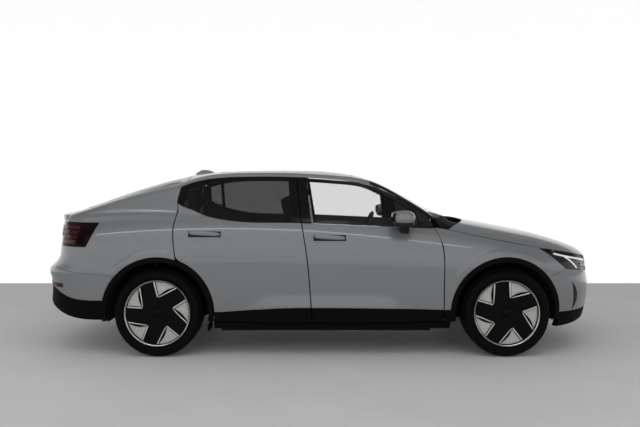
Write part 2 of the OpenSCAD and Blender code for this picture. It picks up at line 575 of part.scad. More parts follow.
// Windscreen, roof and roof glass
screen_top = 0.145 * half_l;
roof_back = -0.487 * half_l;
function screen_pt(f, u, d) = let(x = mix(cowl_x(f), screen_top, u), y = f * (edge_y(x) - line_gap))
    [x, y, top_z(x, y) - d];
function screen_grid(d) = [for (i = [-6 : 6]) [for (u = upto(6)) screen_pt(i / 6, u, d)]];
module windscreen() {
    color("lightblue") shell(screen_grid(0), screen_grid(glass_t));
}
roof_t = 28;
function roof_pt(f, u, d) = let(x = mix(screen_top - seat_gap, roof_back, u),
    y = f * (edge_y(x) - line_gap)) [x, y, top_z(x, y) - d];
roof_f = [-1, -0.94, -0.86, -0.6, -0.3, 0, 0.3, 0.6, 0.86, 0.94, 1];
roof_u = [0, 0.06, 0.2, 0.34, 0.48, 0.62, 0.74, 0.82, 0.92, 1];
function roof_grid(d) = [for (f = roof_f) [for (u = roof_u) roof_pt(f, u, d)]];
fin_l = 0.074 * half_l;
fin_x = -0.464 * half_l;
fin_z = 1.006 * roof_h;
fin_w = 0.16 * fin_l;
fin_top_shares = [0.05, -0.2];
module roof() {
    color("darkgray") {
        shell(roof_grid(0), roof_grid(roof_t), [[2, 8, 1, 7]]);
        antenna();
    }
}
module antenna() {
    translate([fin_x, 0, 0]) rotate([90, 0, 0]) translate([0, 0, -fin_w / 2]) linear_extrude(fin_w)
        polygon([[-fin_l / 2, crown_z(fin_x - fin_l / 2) + line_gap],
            [roof_back + over - fin_x, crown_z(roof_back) + line_gap],
            [roof_back + over - fin_x, crown_z(roof_back) - play],
                [fin_l / 2, crown_z(fin_x + fin_l / 2) - play],
            [fin_l * fin_top_shares[0], fin_z], [fin_l * fin_top_shares[1], fin_z]]);
}
function within(l, a, b, e) = [for (i = [a : b]) l[i] + (i == a ? e : i == b ? -e : 0)];
function roof_glass_grid(d) = [for (f = within(roof_f, 2, 8, 0.0008))
    [for (u = within(roof_u, 1, 7, 0.0003)) roof_pt(f, u, d)]];
module roof_glass() {
    color("black") shell(roof_glass_grid(over), roof_glass_grid(over + 2 * glass_t));
}

// Roof rails with the front pillars
rail_steps = 40;
rail_bend_share = 0.6;
rail_head_share = 0.78;
rail_depth = 0.7 * frame_t;
rail_spread = 1.5;
function rail_x(u) = mix(rail_front, rail_rear, 1 - pow(1 - u, rail_spread));
rail_front = 0.3885 * half_l;
rail_rear = corner_x + 2 * shut_gap;
function rail_q(x, v) = let(a = [side_y(x, rail_z(x) + shut_gap), rail_z(x) + shut_gap],
    b = [edge_y(x), edge_z(x)],
    c = [a[0] - rail_bend_share * lean * (b[1] - a[1]), mix(a[1], b[1], rail_head_share)])
    [x, -mix(mix(a[0], c[0], v), mix(c[0], b[0], v), v), mix(mix(a[1], c[1], v), mix(c[1], b[1], v), v)];
function rail_in_q(x, v) = let(p = rail_q(x, v), g = 90 * v)
    p + [0, frame_t * cos(g), -rail_depth * sin(g)];
module roof_rails() {
    color("darkgray") both() shell([for (u = upto(rail_steps)) [for (v = upto(3)) rail_q(rail_x(u), v)]],
        [for (u = upto(rail_steps)) [for (v = upto(3)) rail_in_q(rail_x(u), v)]]);
}

// Rear quarters with the rear pillars
quarter_cut_z = 0.435 * roof_h;
quarter_foot_z = 0.478 * roof_h;
quarter_head_z = 0.715 * roof_h;
quarter_a = 42;
quarter_r = trim_r + trim_gap;
function quarter_end(v) = tail_pt(quarter_a, mix(quarter_foot_z, quarter_head_z, v));
quarter_from = acos((door_rear(arch_top_z) - shut_gap - rear_x) / quarter_r);
quarter_low = concat(arch_line(rear_x, quarter_from, 180 - asin((quarter_cut_z - hub_z) / quarter_r),
    quarter_r),
    [for (u = [0.25 : 0.25 : 1]) [mix(rear_x - arch_dx(quarter_cut_z, quarter_r), quarter_end(0)[0],
        1 - pow(1 - u, 2)),
        mix(quarter_cut_z, quarter_foot_z, ease(u))]]);
gate_corner_x = -0.501 * half_l;
quarter_top_x = gate_corner_x - shut_gap;
quarter_high = [for (u = upto(14)) let(x = mix(quarter_top_x, quarter_end(1)[0], 1 - pow(1 - u, 1.5)))
    [x, u == 1 ? quarter_head_z : rail_z(x) + shut_gap - line_gap]];
quarter_front = [for (v = upto(10)) let(z = mix(quarter_low[0][1], quarter_high[0][1], v))
    [v == 0 ? quarter_low[0][0] : v == 1 ? quarter_top_x : door_rear(z) - shut_gap, z]];
quarter_rear = [for (v = upto(6)) [quarter_end(v)[0], quarter_end(v)[2]]];
quarter_t = 24;
function quarter_pt(u, v, d) = let(q = coons(quarter_low, quarter_high, quarter_front, quarter_rear, u,
    v), w = ease((u - 0.6) / 0.4))
    [q[0] + d * w, d * (1 - w) - side_y(q[0], q[1]), q[1]];
function quarter_grid(d) = [for (u = upto(14)) [for (v = upto(10)) quarter_pt(u, v, d)]];
module quarter_panels() {
    color("darkgray") both() shell(quarter_grid(0), quarter_grid(quarter_t));
}

// Doors: one grid of columns from front to rear, rows from the sill to the roof rail
door_rows = [0, 0.12, 0.25, 0.36, 0.46, 0.55, 0.64, 0.74, 0.84, 0.92, 1];
frame_w = 30;
belt_front_x = door_front(0.68 * roof_h);
belt_mid_x = door_mid(0.706 * roof_h);
belt_rear_x = -0.512 * half_l;
head_front_x = 0.368 * half_l;
head_mid_x = -0.094 * half_l;
belt_t = 1.5 * frame_t;
taper_share = 0.4;
function door_x(front, z, s) = front ? mix(door_front(z), door_mid(z), s)
    : mix(door_mid(z) - shut_gap, door_rear(z), s);
function belt_x(front, s) = front ? mix(belt_front_x, belt_mid_x, s)
    : mix(belt_mid_x - shut_gap, belt_rear_x, s);
function head_x(front, s) = front ? mix(head_front_x, head_mid_x, s)
    : mix(head_mid_x - shut_gap, gate_corner_x, s);
function door_pt(front, s, j) = let(n = len(door_rows) - 1, bz = belt(belt_x(front, s)),
    z = mix(door_low, bz, door_rows[min(j, n)]), x = door_x(front, z, s),
    tx = head_x(front, s), tz = rail_z(tx), wz = tz - frame_w)
    j <= n ? [x, z] : j == n + 1 ? [mix(x, tx, (wz - bz) / (tz - bz)), wz] : [tx, tz];
function taper(v) = mix(door_t, belt_t, ease((v - taper_share) / (1 - taper_share)));
function door_depth(j) = j > len(door_rows) - 1 ? frame_t : taper(door_rows[j]);
front_s = [0, 0.05, 0.1, 0.18, 0.28, 0.38, 0.48, 0.58, 0.68, 0.78, 0.86, 0.93, 1];
rear_s = [0, 0.07, 0.14, 0.24, 0.34, 0.44, 0.54, 0.64, 0.74, 0.82, 0.85, 0.9, 0.955, 1];
front_hole = [2, 11, len(door_rows) - 1, len(door_rows)];
rear_holes = [[1, 9, len(door_rows) - 1, len(door_rows)], [10, 12, len(door_rows) - 1, len(door_rows)]];
function door_turn(s, j) = let(n = len(door_rows) - 1) j > n ? 1 : j == n ? min(1, 15 * s) : mix(-1, 1,
    ease(3 * s));
function door_in(front, s, j) = let(q = door_pt(front, s, j), d = door_depth(j), x = q[0] + slant * d
    * door_turn(s, j))
    [x, d - side_y(q[0], q[1]), q[1] - (j > len(door_rows) ? max(0, rail_z(q[0]) - rail_z(x)) : 0)];
function door_grid(front, inner) = [for (s = front ? front_s : rear_s) [for (j = [0 : len(door_rows) + 1])
    inner ? door_in(front, s, j) : on_side(door_pt(front, s, j))]];
handle_l = 0.105 * half_l;
handle_h = 26;
handle_t = 15;
handle_front_x = -0.03 * half_l;
handle_front_z = 0.635 * roof_h;
handle_rear_x = -0.457 * half_l;
handle_rear_z = 0.655 * roof_h;
module handle(x, z) {
    translate([x, -side_y(x, z) - handle_t, z - handle_h / 2]) cube([handle_l, 2 * handle_t, handle_h]);
}
module door(front) {
    shell(door_grid(front, false), door_grid(front, true), front ? [front_hole] : rear_holes);
    handle(front ? handle_front_x : handle_rear_x, front ? handle_front_z : handle_rear_z);
}
module door_front_right() { color("darkgray") door(true); }
module door_front_left() { color("darkgray") mirror([0, 1, 0]) door(true); }
module door_rear_right() { color("darkgray") door(false); }
module door_rear_left() { color("darkgray") mirror([0, 1, 0]) door(false); }
pane_in = 12;
pane_edge = 0.0006;
pane_shares = [0.004, 0.35, 0.7, 0.996];
function pane_pt(front, s, w) = let(n = len(door_rows) - 1, a = door_pt(front, s, n),
    b = door_pt(front, s, n + 1)) mix(a, b, w);
function pane_grid(front, h, d) = let(sl = front ? front_s : rear_s)
    [for (s = within(sl, h[0], h[1], pane_edge)) [for (w = pane_shares)
    let(q = pane_pt(front, s, w)) on_side(q, d)]];
module panes(front) {
    for (h = front ? [front_hole] : rear_holes) shell(pane_grid(front, h, pane_in),
        pane_grid(front, h, pane_in + glass_t));
}
module glass_front_right() { color("lightblue") panes(true); }
module glass_front_left() { color("lightblue") mirror([0, 1, 0]) panes(true); }
module glass_rear_right() { color("gray") panes(false); }
module glass_rear_left() { color("gray") mirror([0, 1, 0]) panes(false); }

// Posts behind the meeting line of the doors
post_gap = 8;
post_t = 36;
post_back = 46;
post_front = 74;
post_belt = belt(door_mid(belt_z));
post_head = 0.93 * roof_h;
function post_d(z) = post_gap + (z < post_belt
    ? taper((z - door_low) / (post_belt - door_low))
    : mix(belt_t, frame_t, min(1, (z - post_belt) / (post_head - post_belt))));
function post_grid(d) = [for (x = [-post_back, 0, post_front]) [for (v = upto(14))
    let(z = mix(floor_z + floor_t + seat_gap, rail_z(door_mid(0.95 * roof_h)) + shut_gap - line_gap, v),
        m = door_mid(z) + x)
    [m, post_d(z) + d - side_y(m, z), z]]];
module b_pillars() {
    color("black") both() shell(post_grid(0), post_grid(post_t));
}

// Tailgate: rows run down the rear screen and over the lip to the bumper
gate_front = roof_back - shut_gap;
lip_z = 0.735 * roof_h;
lip_out = 16;
gate_low = 0.487 * roof_h;
gate_t = 34;
gate_f = [-1, -0.93, -0.7, -0.35, 0, 0.35, 0.7, 0.93, 1];
gate_u = [0, 0.07, 0.2, 0.35, 0.5, 0.65, 0.78, 0.9, 0.95, 1];
gate_down = [0.06, 0.2, 0.35, 0.55, 0.75, 1];
function gate_y(x) = edge_y(x) - shut_gap;
function gate_angle(f) = acos(pow(abs(f), tail_round / 2) * cos(quarter_a));
function gate_tail(f, z) = let(p = tail_pt(gate_angle(f), z)) [p[0], -sign(f) * p[1] - f * shut_gap, z];
function gate_top(f, u, d) = let(x = mix(gate_front, gate_tail(f, lip_z)[0] - lip_out, u),
    y = f * gate_y(x)) [x, y, top_z(x, y) - d];
function gate_rear(f, v, d) = let(t = gate_top(f, 1, 0), z = mix(t[2], gate_low, v),
    p = gate_tail(f, z), k = ease(v * 4))
    [mix(t[0], p[0], k) + d, mix(t[1], p[1], k), z];
function gate_col(f, d) = concat([for (u = gate_u) gate_top(f, u, d) + [u == 1 ? d : 0, 0, 0]],
    [for (v = gate_down) gate_rear(f, v, d)]);
module tailgate() {
    color("darkgray") shell([for (f = gate_f) gate_col(f, 0)], [for (f = gate_f) gate_col(f, gate_t)],
        [[1, 7, 1, 6]]);
}
function rear_glass_grid(d) = [for (f = within(gate_f, 1, 7, 0.0006))
    [for (u = within(gate_u, 1, 6, 0.0004)) gate_top(f, u, d)]];
module rear_glass() {
    color("gray") shell(rear_glass_grid(over), rear_glass_grid(over + glass_t));
}

// Rear bumper and skirt, written over the angle round the tail
skirt_high = 0.36 * roof_h;
skirt_low = 0.195 * roof_h;
skirt_rise = 0.07 * roof_h;
skirt_side = 0.3 * roof_h;
tail_spread = 0.8;
function skirt_top(u) = mix(skirt_side, skirt_high, ease(u * 3));
function arch_tail(z) = asin(pow((mid_x - rear_x + arch_dx(z, trim_r + trim_gap)) / (mid_x - tail_x(z)),
    tail_power / 2));
function rear_at(u, v) = let(cut = mix(quarter_cut_z, quarter_foot_z, ease(u * 2.2)) - seat_gap,
    z = mix(skirt_top(u), cut, v)) [mix(arch_tail(z), 90, pow(u, tail_spread)), z];
function rear_grid(d) = [for (u = upto(14)) [for (v = upto(5)) let(q = rear_at(u, v))
    u == 0 ? tail_pt(q[0], q[1]) + [0, d, 0] : tail_in(q[0], q[1], d)]];
module rear_bumper() {
    color("darkgray") shell(whole(rear_grid(0)), whole(rear_grid(skin_t)));
}
function skirt_grid(d) = [for (u = upto(14))
    [for (v = upto(3)) let(z = mix(skirt_low + skirt_rise * ease(u * 2), skirt_top(u) - line_gap, v))
    u == 0 ? tail_pt(arch_tail(z), z) + [0, d, 0]
        : tail_in(mix(arch_tail(z), 90, pow(u, tail_spread)), z, d)]];
module rear_skirt() {
    shell(whole(skirt_grid(0)), whole(skirt_grid(skin_t)));
}

module lower_cladding() {
    color("black") {
        sills();
        arch_trims();
        front_lip();
        front_grille();
        rear_skirt();
    }
}

// Tail lamps on the quarters and the lamp bar on the tailgate
lamp_t = 5;
function tail_lamp_grid(d) = [for (i = [11 : 14]) [for (j = [4 : 9]) quarter_pt(i / 14, j / 10, -d)]];
module tail_lamps() {
    color("red") both() shell(tail_lamp_grid(lamp_t), tail_lamp_grid(seat_gap));
}
bar_f = [for (i = [1 : len(gate_f) - 2]) gate_f[i]];
function bar_grid(d) = [for (f = bar_f) [for (v = [gate_down[1], gate_down[2]]) gate_rear(f, v, -d)]];
module lamp_bar() {
    color("red") shell(bar_grid(lamp_t), bar_grid(seat_gap));
}

// Mirrors
mirror_x = 0.272 * half_l;
mirror_y = 1.068 * half_w;
mirror_z = 0.735 * roof_h;
mirror_l = 0.085 * half_w;
mirror_h = 0.05 * roof_h;
mirror_w = 0.12 * half_w;
module wing_mirror() {
    scale_y = mirror_w / mirror_l;
    hull() {
        translate([mirror_x, -mirror_y + mirror_w, mirror_z])
            scale([1, scale_y, 0.75 * mirror_h / mirror_l]) sphere(r = mirror_l, $fn = 16);
        translate([mirror_x - 0.6 * mirror_l, -mirror_y + 0.9 * mirror_w, mirror_z])
            scale([0.5, 0.9 * scale_y, 0.75 * mirror_h / mirror_l]) sphere(r = mirror_l, $fn = 16);
    }
    translate([mirror_x - 0.4 * mirror_l, -mirror_y + 1.2 * mirror_w, mirror_z - 1.1 * mirror_h])
        cube([0.8 * mirror_l, 0.4 * mirror_w, mirror_h]);
    foot_z = mirror_z - 1.25 * mirror_h;
    foot_y = max(side_y(mirror_x - mirror_l / 2, foot_z), side_y(mirror_x + mirror_l / 2, foot_z))
        + seat_gap;
    translate([mirror_x - mirror_l / 2, -mirror_y + 1.2 * mirror_w, foot_z])
        cube([mirror_l, mirror_y - 1.2 * mirror_w - foot_y, 0.3 * mirror_h]);
}
module mirror_right() { color("darkgray") wing_mirror(); }
module mirror_left() { color("darkgray") mirror([0, 1, 0]) wing_mirror(); }

// Wheel-house liners
liner_t = 4;
liner_r = arch_r + liner_t;
liner_in = rail_y + over;
liner_hole = strut_r + 3 * play;
liner_from = -11;
liner_w = [liner_from, 10, 30, 50, 68, 82, 98, 112, 130, 150, 170, 180 - liner_from];
function liner_grid(x, r) = [for (a = liner_w) let(px = x + r * cos(a), pz = hub_z + r * sin(a),
    y = side_y(px, pz) - trim_t - line_gap)
    [for (q = [liner_in, strut_y - liner_hole, strut_y + liner_hole, y]) [px, -q, pz]]];
module liner(x, sx) {
    shell(liner_grid(x, liner_r), liner_grid(x, liner_r + liner_t), [[5, sx, 1, 2]]);
}
module arch_liners() {
    color("black") both() {
        liner(front_x, 6);
        liner(rear_x, 7);
    }
}

// Cabin
dash_w = 0.73 * half_w;
dash_x = 0.3 * half_l;
dash_l = 0.15 * half_l;
dash_high = 0.66 * roof_h;
dash_h = 0.2 * roof_h;
dash_back_shares = [0.65, 0.1];
dash_shares = [[0.4, 0], [0, 0.15], [-0.05, 0.4], [0.3, 1]];
tunnel_w = 0.13 * half_w;
tunnel_h = 0.22 * roof_h;
cabin_floor = floor_z + floor_t;
wheel_x = 0.175 * half_l;
wheel_y = 0.39 * half_w;
wheel_z = 0.62 * roof_h;
grip_r = 15;
grip_d = 175;
column_tilt = 114;
column_r = 22;
column_l = 0.17 * half_l;
module on_column() {
    translate([wheel_x, wheel_y, wheel_z]) rotate([0, column_tilt, 0]) children();
}
module dashboard() {
    color("dimgray") difference() {
        union() {
            translate([0, dash_w, 0]) rotate([90, 0, 0]) linear_extrude(2 * dash_w)
                polygon(concat([for (v = dash_back_shares) [floor_front - plate_t - seat_gap,
                    dash_high - v * dash_h]],
                    [for (q = dash_shares) [dash_x + q[0] * dash_l, dash_high - q[1] * dash_h]]));
            translate([-0.07 * half_l, -tunnel_w, cabin_floor])
                cube([0.45 * half_l, 2 * tunnel_w, tunnel_h]);
            translate([dash_x, -tunnel_w, cabin_floor])
                cube([0.4 * dash_l, 2 * tunnel_w, dash_high - 0.5 * dash_h - cabin_floor]);
        }
        on_column() cylinder(r = column_r + spindle_play, h = column_l + over, $fn = 40);
    }
}
module steering_wheel() {
    color("black") on_column() {
        rotate_extrude($fn = 60) translate([grip_d, 0]) circle(r = grip_r, $fn = 20);
        translate([0, 0, -grip_r]) cylinder(r = 0.36 * grip_d, h = 2 * grip_r, $fn = 40);
        for (a = [0, 90, 270]) rotate([0, 0, a]) translate([0.3 * grip_d, -grip_r, -grip_r / 2])
            cube([0.68 * grip_d, 2 * grip_r, grip_r]);
        cylinder(r = column_r, h = column_l, $fn = 40);
    }
}
seat_y = 0.39 * half_w;
seat_w = 0.5 * half_w;
seat_x = 0.2 * half_l;
cushion_l = 0.22 * half_l;
back_l = 0.42 * roof_h;
back_t = 0.085 * roof_h;
head_w = 0.5 * seat_w;
seat_round = 0.3 * cushion_t;
module pad(p, q, r, w) {
    hull() for (c = [p, q]) translate([c[0], -w / 2, c[1]]) rotate([-90, 0, 0])
        cylinder(r = r, h = w, $fn = 20);
}
module seat(w) {
    foot_x = seat_x - cushion_l;
    top_x = foot_x - 0.42 * back_l;
    pad([seat_x - cushion_t / 2, seat_z - cushion_t / 3], [foot_x, seat_z - cushion_t / 2],
        cushion_t / 2, w);
    pad([foot_x - cushion_t / 4, seat_z - cushion_t / 3], [top_x, seat_z + 0.8 * back_l], back_t / 2,
        0.95 * w);
    pad([top_x - 0.1 * back_t, seat_z + 0.9 * back_l], [top_x - 0.35 * back_t, seat_z + 1.12 * back_l],
        0.4 * back_t, head_w);
    translate([foot_x, -0.36 * w, cabin_floor])
        cube([0.8 * cushion_l, 0.72 * w, seat_z - cushion_t - cabin_floor + seat_round]);
}
module front_seats() {
    color("dimgray") for (s = [-1, 1]) translate([0, s * seat_y, 0]) seat(seat_w);
}
bench_x = -0.21 * half_l;
bench_w = 1.36 * half_w;
bench_back = bench_x - 0.69 * cushion_l;
module rear_seat() {
    color("dimgray") {
        pad([bench_x, seat_z - cushion_t / 2], [bench_x - 0.62 * cushion_l, seat_z - cushion_t / 2],
            cushion_t / 2, bench_w);
        pad([bench_back, seat_z - cushion_t / 5], [bench_back - 0.36 * back_l, seat_z + 0.85 * back_l],
            back_t / 2, bench_w);
        for (y = [-0.6 * seat_w - head_w / 2, 0, 0.6 * seat_w + head_w / 2]) translate([0, y, 0])
            pad([bench_back - 0.38 * back_l, seat_z + 0.9 * back_l], [bench_back - 0.42 * back_l,
                seat_z + 1.02 * back_l], 0.4 * back_t, 0.8 * head_w);
        translate([floor_back + plate_t + seat_gap, -bench_w / 2, cabin_floor])
            cube([bench_x - floor_back - plate_t - 2 * seat_gap, bench_w, seat_z - cushion_t
                - cabin_floor + seat_round]);
    }
}

body_frame();
battery_pack();
drive_units();
suspension();
lower_cladding();
front_bumper();
headlamps();
wings();
cowl();
windscreen();
roof();
roof_glass();
roof_rails();
quarter_panels();
b_pillars();
rear_bumper();
tail_lamps();
arch_liners();
dashboard();
steering_wheel();
front_seats();
rear_seat();
bonnet();
tailgate();
rear_glass();
lamp_bar();
door_front_right();
door_front_left();
door_rear_right();
door_rear_left();
glass_front_right();
glass_front_left();
glass_rear_right();
glass_rear_left();
mirror_right();
mirror_left();
knuckle_right();
knuckle_left();
wheel_front_right();
wheel_front_left();
wheel_rear_right();
wheel_rear_left();
tyre_front_right();
tyre_front_left();
tyre_rear_right();
tyre_rear_left();
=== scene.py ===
"""Dresses the fastback sedan: fine panels, paint, glass, lamps, wheels and cabin on the CAD frame."""
import math

import bpy
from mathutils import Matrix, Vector


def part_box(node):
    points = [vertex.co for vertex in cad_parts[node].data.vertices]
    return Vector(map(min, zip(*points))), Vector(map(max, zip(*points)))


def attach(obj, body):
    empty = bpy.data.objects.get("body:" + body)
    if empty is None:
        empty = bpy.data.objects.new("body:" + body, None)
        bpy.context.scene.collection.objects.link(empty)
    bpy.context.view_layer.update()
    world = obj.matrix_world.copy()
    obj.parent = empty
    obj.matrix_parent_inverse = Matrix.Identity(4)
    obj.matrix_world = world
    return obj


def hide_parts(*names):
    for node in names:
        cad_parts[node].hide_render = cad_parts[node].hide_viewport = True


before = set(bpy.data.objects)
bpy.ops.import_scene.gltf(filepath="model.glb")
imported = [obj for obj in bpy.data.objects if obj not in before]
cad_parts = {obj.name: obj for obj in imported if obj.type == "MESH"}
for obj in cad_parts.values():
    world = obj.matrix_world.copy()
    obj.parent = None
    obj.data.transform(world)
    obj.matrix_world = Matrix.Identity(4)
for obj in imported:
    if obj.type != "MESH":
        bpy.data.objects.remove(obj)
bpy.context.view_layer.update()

# Sizes in metres, as in the part's source
HALF_L, HALF_W, ROOF_H = 2.303, 0.9295, 1.473
FRONT_X, REAR_X, HUB_Y, TYRE_R = 1.437, -1.298, 0.8, 0.343
TYRE_W, RIM_R, DISC_R = 0.245, 0.252, 0.172
HUB_Z = TYRE_R
SHUT, SEAT = 0.007, 0.0003
DOOR_T, FRAME_T, GLASS_T = 0.105, 0.04, 0.005
ARCH_R, TRIM_W = 0.4, 0.04
TRIM_R = ARCH_R + TRIM_W
SLANT = 0.3

# Shape of the body: heights are shares of the roof height, lengths of half the body length
MID_X = -0.087 * HALF_L
WAIST_Z, SILL_Z, BELT_Z = 0.421 * ROOF_H, 0.147 * ROOF_H, 0.709 * ROOF_H
NOSE_POWER, NOSE_ROUND, TAIL_POWER, TAIL_ROUND = 9, 2, 14, 2.5
SIDE_POWER, TUCK, LEAN, CROWN_POWER = 3.33, 0.05, 0.6, 2.3
RAIL_IN, RAIL_UP, MERGE_H = 0.078 * HALF_W, 0.027 * ROOF_H, 0.03 * ROOF_H
NOSE = [(0.1, 0.955), (0.146, 0.976), (0.224, 0.991), (0.31, 1), (0.36, 1), (0.421, 0.994)]
TAIL = [(0.14, 0.93), (0.2, 0.968), (0.27, 0.994), (0.33, 0.992), (0.4, 0.995), (0.455, 1),
        (0.48, 0.984), (0.51, 0.97), (0.58, 0.964), (0.68, 0.966), (0.75, 0.976)]
DECK = [(-1, 0.743), (-0.912, 0.774), (-0.695, 0.818), (-0.434, 0.842), (-0.087, 0.832), (0.174, 0.791),
        (0.391, 0.741), (0.52, 0.709), (0.663, 0.669), (0.806, 0.623), (0.902, 0.577), (0.95, 0.547),
        (0.995, 0.504)]
CABIN = [(-1, 0.735), (-0.87, 0.78), (-0.695, 0.83), (-0.52, 0.87), (-0.35, 0.895), (-0.087, 0.9),
         (0.217, 0.85), (0.391, 0.775), (0.45, 0.75)]
MERGE = [(-1, 0.712), (-0.87, 0.73), (-0.7, 0.748), (-0.5, 0.745), (-0.36, 0.729), (-0.076, 0.708),
         (0.43, 0.676)]
CROWN = [(-0.973, 0.745), (-0.914, 0.769), (-0.85, 0.802), (-0.771, 0.848), (-0.676, 0.898),
         (-0.58, 0.941), (-0.46, 0.979), (-0.36, 0.993), (-0.2, 1), (-0.08, 0.999), (0.02, 0.992),
         (0.1, 0.975), (0.165, 0.952), (0.22, 0.922), (0.28, 0.876), (0.376, 0.795), (0.472, 0.722)]
RAIL = [(-0.96, 0.702), (-0.867, 0.738), (-0.771, 0.784), (-0.676, 0.831), (-0.58, 0.869),
        (-0.513, 0.894), (-0.465, 0.921), (-0.413, 0.94), (-0.36, 0.949), (-0.243, 0.955),
        (-0.107, 0.953), (0.027, 0.941), (0.121, 0.926), (0.178, 0.905), (0.215, 0.88), (0.29, 0.815),
        (0.366, 0.741), (0.41, 0.692)]
BELT = [(-0.523, 0.826), (-0.5, 0.8), (-0.451, 0.7705), (-0.406, 0.744), (-0.359, 0.7285),
        (-0.076, 0.708), (0.403, 0.676)]
DOOR_FRONT = [(0.18, 0.409), (0.4, 0.409), (0.56, 0.4085), (0.625, 0.402), (0.662, 0.392), (0.7, 0.381)]
DOOR_MID = [(0.18, -0.036), (0.353, -0.043), (0.557, -0.056), (0.706, -0.0725), (0.96, -0.093)]
DOOR_REAR = [(0.519, -0.499), (0.593, -0.507), (0.672, -0.5125), (0.741, -0.509), (0.785, -0.505),
             (0.811, -0.51), (0.84, -0.5085), (0.9, -0.501)]
HOOD_SIDE = [(0.41, 0.815), (0.565, 0.868), (0.74, 0.905), (0.995, 0.905)]


def mix(a, b, u):
    """Linear blend of two numbers or two points."""
    if isinstance(a, (int, float)):
        return a + (b - a) * u
    return tuple(p + (q - p) * u for p, q in zip(a, b))


def ease(u):
    t = min(1, max(0, u))
    return t * t * (3 - 2 * t)


def hermite(a, b, c, d, t):
    start = a * (1 + 2 * t) * (1 - t) ** 2 + c * t * (1 - t) ** 2
    return start + b * t * t * (3 - 2 * t) - d * t * t * (1 - t)


def grad(p, i):
    return (p[i + 1][1] - p[i][1]) / (p[i + 1][0] - p[i][0])


def tang(p, i):
    if i == 0:
        return grad(p, 0)
    if i == len(p) - 1:
        return grad(p, i - 1)
    a, b = p[i][0] - p[i - 1][0], p[i + 1][0] - p[i][0]
    return (grad(p, i - 1) * b + grad(p, i) * a) / (a + b)


def curve(p, u):
    """Smooth value of a table of (place, value) at u."""
    i = 0
    while i < len(p) - 2 and u >= p[i + 1][0]:
        i += 1
    h = p[i + 1][0] - p[i][0]
    t = min(1, max(0, (u - p[i][0]) / h))
    return hermite(p[i][1], p[i + 1][1], tang(p, i) * h, tang(p, i + 1) * h, t)


def along(p, u):
    """Point at share u of a smooth line through points."""
    n = len(p) - 1
    i = min(int(u * n), n - 1)
    t = u * n - i
    a, b = p[i], p[i + 1]
    before, after = p[max(0, i - 1)], p[min(n, i + 2)]
    ka, kb = (1 if i == 0 else 2), (1 if i + 2 > n else 2)
    return tuple(hermite(p0, p1, (p1 - p_before) / ka, (p_after - p0) / kb, t)
                 for p0, p1, p_before, p_after in zip(a, b, before, after))


def power(c, p):
    """Power of a number's size, with its sign kept."""
    return math.copysign(abs(c) ** p, c)


def coons(b, t, l, r, u, v):
    """Point of the patch between a lower, upper, left and right line."""
    rows = mix(along(b, u), along(t, u), v)
    cols = mix(along(l, v), along(r, v), u)
    flat = mix(mix(b[0], b[-1], u), mix(t[0], t[-1], u), v)
    return tuple(x + y - z for x, y, z in zip(rows, cols, flat))


def upto(n):
    return [i / n for i in range(n + 1)]


# Surfaces of the body
def plan(x, nose, tail):
    if x > MID_X:
        return max(0, 1 - ((x - MID_X) / (nose - MID_X)) ** NOSE_POWER) ** (1 / NOSE_ROUND)
    return max(0, 1 - ((MID_X - x) / (MID_X - tail)) ** TAIL_POWER) ** (1 / TAIL_ROUND)


def heights(table):
    """Height over the length of the car, from a table of shares."""
    return lambda x: ROOF_H * curve(table, x / HALF_L)


def lengths(table):
    """Place along the car over its height, from a table of shares."""
    return lambda z: HALF_L * curve(table, z / ROOF_H)


deck_z, crown_z, rail_z, belt, merge_z = (heights(t) for t in (DECK, CROWN, RAIL, BELT, MERGE))
door_front, door_mid, nose_line, tail_line = (lengths(t) for t in (DOOR_FRONT, DOOR_MID, NOSE, TAIL))


def nose_x(z):
    return nose_line(min(z, WAIST_Z))


def tail_x(z):
    return -tail_line(z)


def sill_side(x, z):
    if z < WAIST_Z:
        return 1 - TUCK * ((WAIST_Z - z) / (WAIST_Z - SILL_Z)) ** 2
    return max(0, 1 - min(1, (z - WAIST_Z) / (deck_z(x) - WAIST_Z)) ** SIDE_POWER) ** (1 / SIDE_POWER)


def cabin_side(x, z):
    return curve(CABIN, x / HALF_L) - LEAN * (z - BELT_Z) / HALF_W


def side_share(x, z):
    k = ease((z - merge_z(x)) / MERGE_H / 2 + 0.5)
    return mix(sill_side(x, z), cabin_side(x, z), k)


BROW, BROW_R, BROW_W, BROW_FADE = 0.014, 1.27 * ARCH_R, 0.026, 28


def brow(x, z):
    """Raised lip round a wheel arch, fading out towards the door and the bumper."""
    out = 0
    for hub_x, low, high in ((FRONT_X, 40, 150), (REAR_X, 60, 172)):
        turn = math.degrees(math.atan2(z - HUB_Z, x - hub_x))
        ends = ease((turn - low) / BROW_FADE) * ease((high - turn) / BROW_FADE)
        out += BROW * ends * ease((BROW_R - math.hypot(x - hub_x, z - HUB_Z)) / BROW_W)
    return out


def side_y(x, z):
    return HALF_W * plan(x, nose_x(z), tail_x(z)) * side_share(x, z) + brow(x, z)


def wing_y(x, z):
    return HALF_W * plan(x, nose_x(z), tail_x(z)) * sill_side(x, z) + brow(x, z)


CORNER_X = -0.915 * HALF_L


def edge_y(x):
    c = max(x, CORNER_X)
    return side_y(c, rail_z(c)) - RAIL_IN


def edge_z(x):
    return rail_z(x) + RAIL_UP


def top_z(x, y):
    return crown_z(x) - (crown_z(x) - edge_z(x)) * (abs(y) / edge_y(x)) ** CROWN_POWER


def hood_w(x):
    return HALF_W * plan(x, nose_x(WAIST_Z), tail_x(WAIST_Z))


def hood_y(x):
    return hood_w(x) * curve(HOOD_SIDE, x / HALF_L)


def hood_z(x, y):
    k = min(1, abs(y) / max(0.001, hood_w(x)))
    return WAIST_Z + (deck_z(x) - WAIST_Z) * max(0, 1 - k ** SIDE_POWER) ** (1 / SIDE_POWER)


def sin_d(a):
    return math.sin(math.radians(a))


